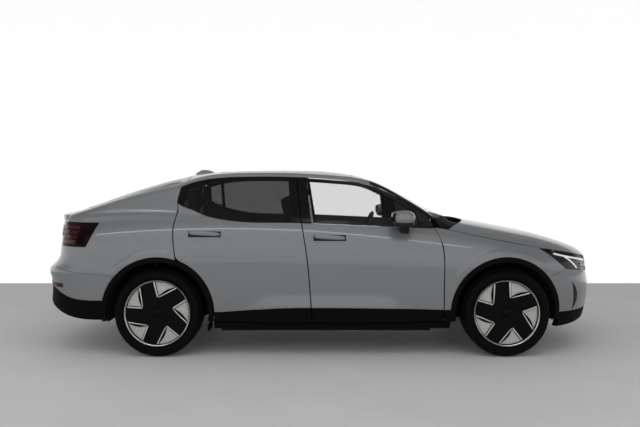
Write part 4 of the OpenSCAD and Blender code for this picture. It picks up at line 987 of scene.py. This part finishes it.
gate_f = finer(GATE_F, 6)
gate_s = finer(GATE_U, 5) + [1 + w for w in finer([0] + GATE_DOWN, 5)[1:]]
tailgate = Solid().skin(gate_f, gate_s, gate_at, 0, GATE_T, opening(6, 42, 5, 30))
tailgate.done("tailgate_skin", PAINT, "tailgate", "body_paint", ("tailgate",), 0.0025)
pane_f, pane_u = finer(GATE_F[1:8], 6), finer(GATE_U[1:7], 5)
screen = Solid().skin(pane_f, pane_u, gate_top, PANE_SINK, PANE_SINK + GLASS_T)
screen.done("rear_glass_pane", DARK_GLASS, "tailgate", "dark_glass", ("rear_glass",))

# Rear bumper and skirt, over the angle round the tail
SKIRT_HIGH, SKIRT_LOW = 0.36 * ROOF_H, 0.195 * ROOF_H
SKIRT_SIDE, SKIRT_RISE = 0.3 * ROOF_H, 0.07 * ROOF_H


def arch_tail(z):
    share = (MID_X - REAR_X + arch_dx(z, TRIM_R + SEAT)) / (MID_X - tail_x(z))
    return math.degrees(math.asin(share ** (TAIL_POWER / 2)))


def tail_turn(u, z):
    """Angle at share u of the way from the wheel arch to the middle of the tail."""
    return mix(arch_tail(z), 90, u ** 0.8)


def rear_top(u):
    """Height at which the bumper meets the lower edge of the quarters."""
    x0, x1 = REAR_X - arch_dx(QUARTER_CUT, QUARTER_R), quarter_end(0)[0]
    z = QUARTER_CUT
    for _ in range(5):
        x = tail_pt(tail_turn(u, z), z)[0]
        share = min(1, max(0, (x0 - x) / (x0 - x1)))
        z = mix(QUARTER_CUT, QUARTER_FOOT, ease(1 - math.sqrt(1 - share)))
    return z - 2 * SEAT


def skirt_top(u):
    return mix(SKIRT_SIDE, SKIRT_HIGH, ease(u * 3))


def rear_pt(u, v, d):
    z = mix(skirt_top(u), rear_top(u), v)
    return tail_in(tail_turn(u, z), z, d)


def skirt_pt(u, v, d):
    z = mix(SKIRT_LOW + SKIRT_RISE * ease(u * 2), skirt_top(u) - SEAT, v)
    return tail_in(tail_turn(u, z), z, d)


rear = Solid().skin(upto(50), upto(24), rear_pt, 0, SKIN_T, fold=whole)
rear.done("rear_bumper_skin", PAINT, "body", "body_paint", ("rear_bumper",), 0.003)

# Black plastic round the lower edge
SILL_T, SILL_LOW, TRIM_OUT, TRIM_T = 0.13 * HALF_W, 0.147 * ROOF_H, 0.005, 0.032
TRIM_FROM, TRIM_TO = -9, 189
cladding = Solid()
for hub_x in (FRONT_X, REAR_X):
    def trim_pt(u, v, d):
        q = arch_pt(hub_x, mix(ARCH_R, TRIM_R, v), mix(TRIM_FROM, TRIM_TO, u))
        return (q[0], d - side_y(*q), q[1])
    cladding.skin(upto(72), upto(6), trim_pt, -TRIM_OUT, TRIM_T, mirror=True)
sill_a, sill_b = FRONT_X - TRIM_R - SEAT, REAR_X + TRIM_R + SEAT
SILL_STEP = 0.02


def sill_pt(u, v, d):
    q = (mix(sill_a, sill_b, u), mix(SILL_LOW, DOOR_LOW - SHUT, v))
    return (q[0], d - side_y(*q) + SILL_STEP * (1 - ease(v * 2)), q[1])


cladding.skin(upto(60), upto(8), sill_pt, 0, SILL_T - SILL_STEP, mirror=True)


def lip_pt(u, v, d):
    z = mix(LIP_LOW + LIP_RISE * ease(u * 2), LIP_HIGH - SEAT, v)
    return nose_in(mix(arch_nose(z), 90, u), z, d)


cladding.skin(upto(48), upto(10), lip_pt, 0, 2 * SKIN_T, fold=whole)
cladding.skin(upto(50), upto(14), skirt_pt, 0, SKIN_T, fold=whole)
GRILLE_A = LAMP_B - 1.2
GRILLE_LOW, GRILLE_HIGH = 0.1, 0.56


def grille_pt(u, v, d):
    return nose_in(mix(GRILLE_A, 90, u), mix(LIP_HIGH, lead_pt(90)[2], v), d)


grille_rows = [mix(GRILLE_LOW, GRILLE_HIGH, v) for v in upto(12)]
cladding.skin(upto(30), grille_rows, grille_pt, SKIN_T + SEAT, 2 * SKIN_T, fold=whole)
cladding.done("lower_cladding_skins", CLADDING, "body", "black_plastic", ("lower_cladding",), 0.003)

# Headlamps: dark housing, white daytime strips, projector lenses and a clear cover
def lamp_at(u, v, d):
    q = coons(LAMP_LOW, LAMP_HIGH, LAMP_BACK, LAMP_FRONT, u, v)
    p = nose_in(q[0], q[1], d)
    return (p[0], p[1], p[2] - DROP * d * v)


lamp_cols, lamp_rows = upto(40), upto(14)
COVER_T, LAMP_SINK = 0.003, 0.012
housing = Solid().skin(lamp_cols, lamp_rows, lamp_at, LAMP_SINK, SKIN_T, mirror=True)
housing.done("headlamp_housings", LENS_DARK, "body", "black_trim")
cover = Solid().skin(lamp_cols, lamp_rows, lamp_at, 0, COVER_T, mirror=True)
cover.done("headlamp_covers", glass("lamp_cover", (0.02, 0.02, 0.022), 0.12), "body", "lamp_clear",
           ("headlamps",))
STRIP_UP = [(0.16, 0.88), (0.3, 0.84), (0.5, 0.82), (0.72, 0.82), (0.97, 0.84)]
STRIP_DOWN = [(0.3, 0.84), (0.35, 0.45), (0.36, 0.1)]
STRIP_W, STRIP_IN, STRIP_BACK = 0.026, COVER_T + 0.003, LAMP_SINK + 0.002
strips = Solid()
for line, wide in ((STRIP_UP, (0, STRIP_W / 2)), (STRIP_DOWN, (STRIP_W / 2, 0))):
    def strip_pt(t, k, d):
        u, v = along(line, t)
        return lamp_at(min(1, max(0, u + wide[0] * k)), min(1, max(0, v + wide[1] * k * 2)), d)
    strips.skin(upto(24), (-1, 0, 1), strip_pt, STRIP_IN, STRIP_BACK, mirror=True)
strips.done("daytime_strips", WHITE_LAMP, "body", "lamp_clear")
LENS_R, LENS_OUT, LENS_T, LENS_V = 0.022, 0.01, 0.012, 0.42
lenses = Solid()
for u in (0.64, 0.84):
    middle = lamp_at(u, LENS_V, LAMP_SINK)

    def lens_pt(t, w, d):
        a, b = 2 * math.pi * t, math.radians(w)
        y, z = (LENS_R * math.sin(b) * k for k in (math.cos(a), math.sin(a)))
        return (middle[0] + LENS_OUT * math.cos(b) - d, middle[1] + y, middle[2] + z)
    lenses.skin(upto(16), (4, 25, 50, 75, 90), lens_pt, 0, LENS_T, mirror=True)
lenses.done("lamp_lenses", MACHINED, "body", "lamp_clear")

# Tail lamps and the bar across the tailgate
TAIL_LOW, TAIL_HIGH, LAMP_T = 0.583 * ROOF_H, 0.71 * ROOF_H, 0.005
TAIL_FROM, TAIL_TO = (15, 10), QUARTER_A - 2
BAR_F, BAR_ROWS = 0.97, (0.2, 0.28, 0.36, 0.42)


def tail_lamp_pt(u, v, d):
    a = mix(mix(*TAIL_FROM, v), TAIL_TO, u)
    return tail_in(a, mix(TAIL_LOW, TAIL_HIGH, v), d)


tail_lamps = Solid().skin(upto(30), upto(10), tail_lamp_pt, -LAMP_T * 0.6, 0.001, mirror=True)
tail_lamps.done("tail_lamp_surrounds", TAIL_LENS, "body", "black_trim", ("tail_lamps",), 0.001)
segments = Solid()
ROWS, ROW_LOW, ROW_STEP, ROW_H = 4, 0.12, 0.2, 0.15
row_cols = [mix(0.3, 0.98, u) for u in upto(24)]
for k in range(ROWS):
    low = ROW_LOW + ROW_STEP * k
    segments.skin(row_cols, (low, low + ROW_H), tail_lamp_pt, -LAMP_T, 0, mirror=True)
segments.done("tail_lamp_rows", RED_LAMP, "body", "lamp_red")
bar = Solid().skin(finer([-BAR_F, BAR_F], 60), BAR_ROWS, gate_rear, -LAMP_T, -SEAT)
bar.done("lamp_bar_lens", RED_LAMP, "tailgate", "lamp_red", ("lamp_bar",), 0.001)

# Wheels: outer face along the axle, five wide blades with bright edges, and the tyre
HALF_T = TYRE_W / 2
FACE_Y = 0.4 * TYRE_W
BLADES = 5
V_R, EDGE_R = 0.126, 0.247
V_A, LEFT_A, RIGHT_A = -4.4, -13.0, 29.0
LINE_W, FACE_T, BLADE_TIP = 0.009, 0.012, 0.002
DISH_R, DISH_W, DISH_DEEP, DISH_OUT = 0.12, 0.13, 0.022, 0.2
PHASES = {FRONT_X: 20, REAR_X: 7}


def wheel_pt(centre, side, r, a, out):
    """Point on a wheel at radius r and angle a, clockwise from the top as seen from outside."""
    w = math.radians(a + PHASES[centre[0]])
    return (centre[0] + side * -r * math.sin(w), centre[1] + side * out, centre[2] + r * math.cos(w))


def dish(r):
    """Outward place of the wheel's face: it domes a little towards the rim's edge."""
    return FACE_Y - DISH_DEEP * ((r - DISH_R) / DISH_W) ** 2 * (1 if r < DISH_R else DISH_OUT)


def blade_loop(k):
    """Outline of the black blade between two windows, as (radius, angle)."""
    turn, nxt = 360 / BLADES * k, 360 / BLADES * (k + 1)
    loop = [(EDGE_R, mix(turn + RIGHT_A, nxt + LEFT_A, u)) for u in upto(10)]
    loop += [(mix(EDGE_R, V_R, u), mix(nxt + LEFT_A, nxt + V_A, u)) for u in upto(6)[1:]]
    loop += [(BLADE_TIP, (turn + nxt) / 2), (V_R, turn + V_A)]
    loop += [(mix(V_R, EDGE_R, u), mix(turn + V_A, turn + RIGHT_A, u)) for u in upto(6)[1:-1]]
    return loop


def flat_pt(r, a):
    return (r * math.sin(math.radians(a)), r * math.cos(math.radians(a)))


def polar_mix(p, q, u):
    """Straight line between two polar points."""
    x, y = mix(flat_pt(*p), flat_pt(*q), u)
    return (math.hypot(x, y), math.degrees(math.atan2(x, y)))


# Outlines turned round the axle, as (radius, distance outward)
BARREL_LINE = [(0.241, -0.118), (0.252, -0.118), (0.252, 0.105), (0.266, 0.108), (0.266, 0.114),
               (0.258, 0.114), (0.2455, 0.1), (0.241, 0.08)]
CAP_LINE = [(0.001, FACE_Y - 0.03), (0.033, FACE_Y - 0.03), (0.033, FACE_Y + 0.001),
            (0.029, FACE_Y + 0.003), (0.001, FACE_Y + 0.004)]
FLANGE_LINE = [(0.2405, -0.1175), (0.2525, 0.1), (0.267, 0.107), (0.2665, 0.1145), (0.2585, 0.1145),
               (0.246, 0.101)]
RING_LINE = [(EDGE_R - 0.004, 0.088), (0.2455, 0.088), (0.2455, 0.1), (EDGE_R - 0.004, 0.097)]
BRIGHT_LINE = [(0.2505, 0.1), (0.2545, 0.103), (0.2545, 0.1125), (0.2505, 0.1095)]
DISC_LINE = [(0.08, -0.027), (DISC_R, -0.027), (DISC_R, 0.0), (0.08, 0.0)]
BELL_LINE = [(0.001, -0.027), (0.08, -0.027), (0.08, FACE_Y - 0.03), (0.001, FACE_Y - 0.03)]
EDGE_LIFT, INSERT_SINK = 0.001, 0.008
GROOVES, GROOVE_W, GROOVE_DEEP, GROOVE_PROUD = (-0.07, -0.024, 0.024, 0.07), 0.003, 0.004, 0.0002
TYRE_STEPS = 18
tyre_mid, tyre_tall = (TYRE_R + RIM_R + SEAT) / 2, (TYRE_R - RIM_R - SEAT) / 2
TYRE_LINE = []
for i in range(2 * TYRE_STEPS):
    turn = math.pi * (i + 0.5) / TYRE_STEPS
    r = tyre_mid + tyre_tall * power(math.cos(turn), 0.6)
    TYRE_LINE.append((r, HALF_T * power(math.sin(turn), 0.75)))


def wheel(tag, hub_x, side):
    """One wheel with its brake disc and tyre."""
    centre = (hub_x, side * HUB_Y, HUB_Z)
    body = "wheel_" + tag

    def face_at(p, lift):
        return wheel_pt(centre, side, *p, dish(p[0]) + lift)

    def plate(solid, loop, high, low):
        """Plate between two heights over the wheel's face, inside a polar outline."""
        solid.loft([[face_at(p, lift) for p in loop] for lift in (low, high)])

    rim = Solid().revolve(BARREL_LINE, centre, side, 120)
    rim.done(body + "_barrel", BARREL, body, "wheel_alloy", (body,))
    face, edges, inserts = Solid(), Solid(), Solid()
    for k in range(BLADES):
        turn = 360 / BLADES * k
        corners = blade_loop(k)
        sides = zip(corners, corners[1:] + corners[:1])
        plate(face, [polar_mix(a, b, t) for a, b in sides for t in (0, 0.5)], 0, -FACE_T)
        for far, lean in ((LEFT_A, -1), (RIGHT_A, 1)):
            line = [polar_mix((V_R, turn + V_A), (EDGE_R, turn + far), u) for u in upto(12)]
            wide = [(r, a + lean * math.degrees(LINE_W / r)) for r, a in line]
            edges.skin(list(zip(line, wide)), (0, 1), lambda pair, k, lift: face_at(pair[k], lift),
                       EDGE_LIFT, -FACE_T - EDGE_LIFT)
        ends = turn + LEFT_A + 1.4, turn + RIGHT_A - 1.2
        wedge = [(V_R + 0.012, turn + V_A + 0.8)] + [(EDGE_R - 0.001, mix(*ends, u)) for u in upto(8)]
        plate(inserts, wedge, -INSERT_SINK, -FACE_T - INSERT_SINK)
    face.revolve(CAP_LINE, centre, side, 48)
    for line in (FLANGE_LINE, RING_LINE):
        face.revolve(line, centre, side, 120)
    face.done(body + "_blades", WHEEL_BLACK, body, "wheel_alloy")
    edges.revolve(BRIGHT_LINE, centre, side, 120)
    edges.done(body + "_bright_edges", MACHINED, body, "wheel_alloy")
    inserts.done(body + "_inserts", INSERT, body, "wheel_alloy")
    disc = Solid().revolve(DISC_LINE, centre, side, 72).revolve(BELL_LINE, centre, side, 48)
    disc.done(body + "_disc", STEEL, body, "steel")
    tyre = Solid().revolve(TYRE_LINE, centre, side)
    tyre.done("tyre_%s_rubber" % tag, RUBBER, body, "tyre", ("tyre_" + tag,))
    tread = Solid()
    low, high = TYRE_R - GROOVE_DEEP, TYRE_R + GROOVE_PROUD
    for y in GROOVES:
        a, b = y - GROOVE_W, y + GROOVE_W
        tread.revolve([(low, a), (high, a), (high, b), (low, b)], centre, side, 72)
    tread.done("tyre_%s_grooves" % tag, UNDER, body, "tyre")


for place, hub_x in (("front", FRONT_X), ("rear", REAR_X)):
    for hand, end in ((-1, "_right"), (1, "_left")):
        wheel(place + end, hub_x, hand)


# Mirrors and antenna fin
def rounded(solid, centre, half, plan_power, side_power, steps=28):
    """Soft-cornered lump."""
    cols = []
    for i in range(steps + 1):
        b = math.pi * (i / steps - 0.5)
        col = []
        for k in range(2 * steps):
            a = math.pi * k / steps
            x, y = (power(c, plan_power) * math.cos(b) ** side_power for c in (math.cos(a), math.sin(a)))
            z = power(math.sin(b), side_power)
            col.append(tuple(m + h * p for m, h, p in zip(centre, half, (x, y, z))))
        cols.append(col)
    n = 2 * steps
    points = [p for col in cols[1:-1] for p in col] + [cols[0][0], cols[-1][0]]
    faces = [(i * n + k, i * n + (k + 1) % n, (i + 1) * n + (k + 1) % n, (i + 1) * n + k)
             for i in range(steps - 2) for k in range(n)]
    low, high = len(points) - 2, len(points) - 1
    faces += [(low, (k + 1) % n, k) for k in range(n)]
    top = (steps - 2) * n
    faces += [(high, top + k, top + (k + 1) % n) for k in range(n)]
    return solid.add(points, faces)


MIRROR_X, MIRROR_Z = 0.275 * HALF_L, 0.738 * ROOF_H
MIRROR_HALF = (0.09, 0.108, 0.06)
MIRROR_GLASS_HALF, MIRROR_LOW_HALF = (0.024, 0.08, 0.042), (0.082, 0.1, 0.026)
STALK_Z = 0.655 * ROOF_H
STALK = [(MIRROR_X + dx, dz) for dx, dz in ((-0.03, 0.03), (0.05, 0.03), (0.04, -0.02), (-0.015, -0.02))]
for hand, tag in ((-1, "right"), (1, "left")):
    lo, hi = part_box("mirror_" + tag)
    out_y = max(abs(lo.y), abs(hi.y))
    body = "door_front_" + tag
    cap = Solid()
    rounded(cap, (MIRROR_X, hand * (out_y - MIRROR_HALF[1]), MIRROR_Z), MIRROR_HALF, 0.75, 0.8)
    cap.done("mirror_%s_cap" % tag, PAINT, body, "body_paint", ("mirror_" + tag,), smooth_angle=80)
    foot = Solid()
    root = side_y(MIRROR_X, STALK_Z) - 0.002
    low = [(x, hand * root, STALK_Z + dz) for x, dz in STALK]
    high = [(x, hand * (out_y - 1.2 * MIRROR_HALF[1]), MIRROR_Z - 0.03 + 0.6 * dz) for x, dz in STALK]
    foot.loft([low, high])
    back = hand * (out_y - MIRROR_HALF[1])
    rounded(foot, (MIRROR_X - 0.07, back, MIRROR_Z + 0.004), MIRROR_GLASS_HALF, 0.6, 0.6)
    rounded(foot, (MIRROR_X, back, MIRROR_Z - 0.045), MIRROR_LOW_HALF, 0.6, 0.8)
    foot.done("mirror_%s_stalk" % tag, GLOSS, body, "black_trim", (), 0.003)

FIN_BACK, FIN_FRONT, FIN_W, FIN_H, FIN_SINK = -0.5 * HALF_L, -0.423 * HALF_L, 0.026, 0.038, 0.004
FIN_ACROSS = (-1, -0.7, -0.3, 0, 0.3, 0.7, 1)
fin_cols = []
for t in upto(20):
    x = mix(FIN_BACK, FIN_FRONT, t)
    base = max(crown_z(max(x, ROOF_BACK)), crown_z(x)) - FIN_SINK
    lift = FIN_H * ((t / 0.3) ** 0.5 if t < 0.3 else 1 - ((t - 0.3) / 0.7) ** 2.2)
    wide = FIN_W * math.sqrt(max(0.02, 1 - (2 * t - 1) ** 4))
    fin_cols.append([(x, wide * k, base + (lift + FIN_SINK) * (1 - abs(k) ** 1.5)) for k in FIN_ACROSS])
fin_low = [[(p[0], p[1], min(q[2] for q in col) - FIN_SINK) for p in col] for col in fin_cols]
fin = Solid().shell(fin_cols, fin_low)
fin.done("antenna_fin", PAINT, "body", "body_paint")

# Reflectors low on the rear bumper, slots in the nose, and flaps ahead of the rear wheels
REFLECTOR_A, REFLECTOR_Z = (26, 52), (0.3645 * ROOF_H, 0.387 * ROOF_H)
SLOT_A, SLOT_W, SLOT_TURN, SLOT_Z = 34, 3.5, 1.5, (0.232 * ROOF_H, 0.39 * ROOF_H)


def reflector_pt(u, v, d):
    return tail_in(mix(*REFLECTOR_A, u), mix(*REFLECTOR_Z, v), d)


def slot_pt(u, v, d):
    a = SLOT_A + SLOT_W * math.sin(math.pi * v) * u + SLOT_TURN * (1 - v)
    return nose_in(a, mix(*SLOT_Z, v), d)


reflectors = Solid().skin(upto(12), upto(3), reflector_pt, -0.003, 0.004, mirror=True)
reflectors.done("rear_reflectors", RED_LAMP, "body", "lamp_red", (), 0.001)
slots = Solid().skin(upto(4), upto(12), slot_pt, -0.0015, 0.006, mirror=True)
slots.done("nose_slots", GLOSS, "body", "black_trim", (), 0.001)
flaps = Solid()
FLAP_X, FLAP_T, FLAP_W, FLAP_LOW, FLAP_TOP = REAR_X + 0.98 * ARCH_R, 0.02, 0.1, 0.205, 0.25
for hand in (-1, 1):
    y = hand * HUB_Y
    flaps.box((FLAP_X, y - FLAP_W, FLAP_LOW), (FLAP_X + FLAP_T, y + 0.5 * FLAP_W, FLAP_TOP))
flaps.done("wheel_flaps", CLADDING, "body", "black_plastic", (), 0.004)

# Inner walls of the wheel houses, and their linings out to the arch trims
HOUSE_Y, HOUSE_R, HOUSE_T = 0.413, 0.403, 0.004
LINING_R, LINING_T, LINING_IN, LINING_GAP = 0.4, 0.004, 0.77, 0.035
houses, linings = Solid(), Solid()
for hub_x, y_at in ((FRONT_X, wing_y), (REAR_X, side_y)):
    rim_line = arch_line(hub_x, -11, 191, HOUSE_R, 32)
    for hand in (-1, 1):
        houses.loft([[(x, hand * y, z) for x, z in rim_line] for y in (HOUSE_Y, HOUSE_Y + HOUSE_T)])

    def lining_pt(w, u, r):
        x, z = arch_pt(hub_x, r, mix(-8, 188, w))
        return (x, -mix(LINING_IN, y_at(x, z) - LINING_GAP, u), z)
    linings.skin(upto(48), upto(2), lining_pt, LINING_R, LINING_R + LINING_T, mirror=True)
houses.done("wheel_house_walls", UNDER, "body", "black_plastic")
linings.done("wheel_house_skirts", UNDER, "body", "black_plastic")

# Seals behind the rear edge of the rear door windows
SEAL_D, SEAL_T, SEAL_BACK, SEAL_FRONT = 0.034, 0.006, 0.045, 0.02


def seal_pt(u, row, d):
    x, z = door_pt(False, 1, row)
    return on_side((x + mix(-SEAL_BACK, SEAL_FRONT, u), z), d)


def seal_top(u, v, d):
    x, z = door_pt(False, u, 3)
    return on_side((x, z + mix(-0.6 * SEAL_BACK, SEAL_FRONT, v)), d)


seal_rows = [mix(0.93, 3, v) for v in upto(14)]
seals = Solid().skin(upto(4), seal_rows, seal_pt, SEAL_D, SEAL_D + SEAL_T, mirror=True)
seals.skin(upto(10), upto(3), seal_top, SEAL_D, SEAL_D + SEAL_T, mirror=True)
seals.done("rear_door_seals", CABIN_TRIM, "body", "cabin_plastic")

# CAD pieces that show as they are
SHOWN = {"body_frame": UNDER, "battery_pack": UNDER, "arch_liners": UNDER, "cowl": CLADDING,
         "b_pillars": GLOSS, "dashboard": CABIN_TRIM, "steering_wheel": CABIN_TRIM, "drive_units": STEEL,
         "suspension": DARK_STEEL, "knuckle_right": STEEL, "knuckle_left": STEEL}
for node, mat in SHOWN.items():
    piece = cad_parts[node]
    if not piece.material_slots:
        piece.data.materials.append(mat)
    for place in piece.material_slots:
        place.material = mat

# Seats: crowned cushions with sewn seams, on hard feet
SEAT_Z, CUSHION_T, CUSHION_L = 0.37 * ROOF_H, 0.09 * ROOF_H, 0.22 * HALF_L
SEAT_Y, SEAT_W, SEAT_X = 0.39 * HALF_W, 0.5 * HALF_W, 0.2 * HALF_L
SEAM, CROSS_SEAM, SEAM_W, SEAM_DEEP = 0.6, 0.35, 0.035, 0.006


def cushion(name, a, b, thick, width, y, crown=0.012, nodes=()):
    """Stuffed pad along the line from a to b, seen from the side, with seams along and across it."""
    length = math.hypot(b[0] - a[0], b[1] - a[1]) + thick
    ux, uz = (b[0] - a[0]) / (length - thick), (b[1] - a[1]) / (length - thick)
    mx, mz = (a[0] + b[0]) / 2, (a[1] + b[1]) / 2
    n = 40
    points, faces = [], []
    for side in (1, -1):
        for i in range(n + 1):
            for k in range(n + 1):
                s, w = 2 * i / n - 1, 2 * k / n - 1
                s, w = math.sin(s * math.pi / 2), math.sin(w * math.pi / 2)
                edge = max(0.0, 1 - s ** 8) ** 0.45 * max(0.0, 1 - w ** 8) ** 0.45
                seam = math.exp(-((abs(w) - SEAM) / SEAM_W) ** 2)
                if abs(w) < SEAM:
                    seam += math.exp(-((s - CROSS_SEAM) / SEAM_W) ** 2)
                swell = crown * (1 - s * s) * (1 - w * w) - SEAM_DEEP * min(1, seam)
                h = side * (0.5 * thick - crown + swell) * edge
                t = s * length / 2
                points.append((mx + ux * t - uz * h, y + w * width / 2, mz + uz * t + ux * h))
    m = (n + 1) * (n + 1)
    for i in range(n):
        for k in range(n):
            p, q = i * (n + 1) + k, (i + 1) * (n + 1) + k
            faces += [(p, q, q + 1, p + 1), (p + 1 + m, q + 1 + m, q + m, p + m)]
    pad = Solid().add(points, faces)
    obj = pad.done(name, CLOTH, "body", "seat_cover", nodes, smooth_angle=70)
    weld = obj.modifiers.new("weld", "WELD")
    weld.merge_threshold = 0.0004
    return obj


BACK_L, BACK_T, FLOOR_Z = 0.4 * ROOF_H, 0.085 * ROOF_H, 0.287
HEAD_T, HEAD_W, HEAD_CROWN = 0.75 * BACK_T, 0.5 * SEAT_W, 0.006
foot_x = SEAT_X - CUSHION_L
top_x = foot_x - 0.099 * HALF_L
pan_low, pan_mid = SEAT_Z - CUSHION_T / 2, SEAT_Z - CUSHION_T / 3
feet = Solid()
for hand, tag in ((-1, "right"), (1, "left")):
    y = hand * SEAT_Y
    cushion("front_seat_cushion_" + tag, (SEAT_X - CUSHION_T / 2, pan_mid), (foot_x, pan_low),
            CUSHION_T, SEAT_W, y, nodes=("front_seats",) if hand < 0 else ())
    cushion("front_seat_back_" + tag, (foot_x - CUSHION_T / 4, pan_mid), (top_x, SEAT_Z + 0.8 * BACK_L),
            BACK_T, 0.95 * SEAT_W, y)
    cushion("front_seat_head_" + tag, (top_x - 0.1 * BACK_T, SEAT_Z + 0.93 * BACK_L),
            (top_x - 0.3 * BACK_T, SEAT_Z + 1.1 * BACK_L), HEAD_T, HEAD_W, y, HEAD_CROWN)
    feet.box((SEAT_X - 0.9 * CUSHION_L, y - 0.33 * SEAT_W, FLOOR_Z),
             (SEAT_X - 0.3 * CUSHION_L, y + 0.33 * SEAT_W, SEAT_Z - 0.8 * CUSHION_T))
feet.done("seat_feet", CABIN_TRIM, "body", "cabin_plastic", (), 0.006)
BENCH_X, BENCH_W = -0.21 * HALF_L, 1.36 * HALF_W
bench_back = BENCH_X - 0.69 * CUSHION_L
for place in range(3):
    w = BENCH_W / 3
    y = (place - 1) * w
    cushion("bench_cushion_%d" % place, (BENCH_X, pan_low), (BENCH_X - 0.62 * CUSHION_L, pan_low),
            CUSHION_T, w, y, nodes=("rear_seat",) if place == 1 else ())
    cushion("bench_back_%d" % place, (bench_back, SEAT_Z - CUSHION_T / 5),
            (bench_back - 0.36 * BACK_L, SEAT_Z + 0.85 * BACK_L), BACK_T, w, y)
    cushion("bench_head_%d" % place, (bench_back - 0.38 * BACK_L, SEAT_Z + 0.9 * BACK_L),
            (bench_back - 0.42 * BACK_L, SEAT_Z + BACK_L), HEAD_T, 0.4 * SEAT_W, y, HEAD_CROWN)

# Floor, light and camera
def plane(name, points, mat):
    obj = mesh_object(name, points, [(0, 1, 2, 3)])
    obj.data.materials.append(mat)


FLOOR = material("pale_floor", (0.82, 0.815, 0.8), 0.6, 0, 0.02, 1.5)
WALL = material("white_wall", (0.2, 0.2, 0.2), 0.9, 0, 0.01, 1.0, Emission_Color=(1, 1, 1, 1),
                Emission_Strength=0.86)
REACH, FLOOR_END = 18.0, 3.2
RING_R, RING_LOW, RING_HIGH, RING_STEPS = 30.0, -60.0, 11.0, 64
plane("floor", [(-REACH, -REACH, 0), (REACH, -REACH, 0), (REACH, FLOOR_END, 0), (-REACH, FLOOR_END, 0)],
      FLOOR)
turns = [2 * math.pi * u for u in upto(RING_STEPS)]
ring = [(RING_R * math.cos(a), RING_R * math.sin(a)) for a in turns]
for k, (p, q) in enumerate(zip(ring, ring[1:])):
    plane("wall_%d" % k, [p + (RING_LOW,), p + (RING_HIGH,), q + (RING_HIGH,), q + (RING_LOW,)], WALL)


def soft_light(name, place, aim, size, power):
    data = bpy.data.lights.new(name, "AREA")
    data.shape = "RECTANGLE"
    data.size, data.size_y = size
    data.energy = power
    lamp = bpy.data.objects.new(name, data)
    bpy.context.scene.collection.objects.link(lamp)
    lamp.location = place
    lamp.rotation_euler = (Vector(aim) - Vector(place)).to_track_quat("-Z", "Y").to_euler()


soft_light("top_light", (-0.6, -0.4, 4.6), (-0.3, 0, 0.6), (9.0, 2.0), 20)
soft_light("front_light", (-0.6, -6.0, 4.6), (-0.2, -0.4, 0.7), (14.0, 4.0), 95)
soft_light("strip_light", (-0.9, -3.4, 4.6), (-0.9, -0.9, 1.0), (7.0, 0.3), 30)
world = bpy.data.worlds.new("studio")
bpy.context.scene.world = world
world.use_nodes = True
sky = world.node_tree.nodes["Background"]
sky.inputs["Color"].default_value = (0.95, 0.97, 1.0, 1)
sky.inputs["Strength"].default_value = 0.26
bpy.context.scene.view_settings.view_transform = "Standard"

cam_data = bpy.data.cameras.new("camera")
cam_data.sensor_width = 36
cam_data.lens = 41.09
cam_data.shift_y = -0.052
camera = bpy.data.objects.new("camera", cam_data)
bpy.context.scene.collection.objects.link(camera)
camera.location = (-0.025, -6.62, 1.384)
camera.rotation_euler = (math.radians(90), 0, 0)
bpy.context.scene.camera = camera

bpy.context.view_layer.update()
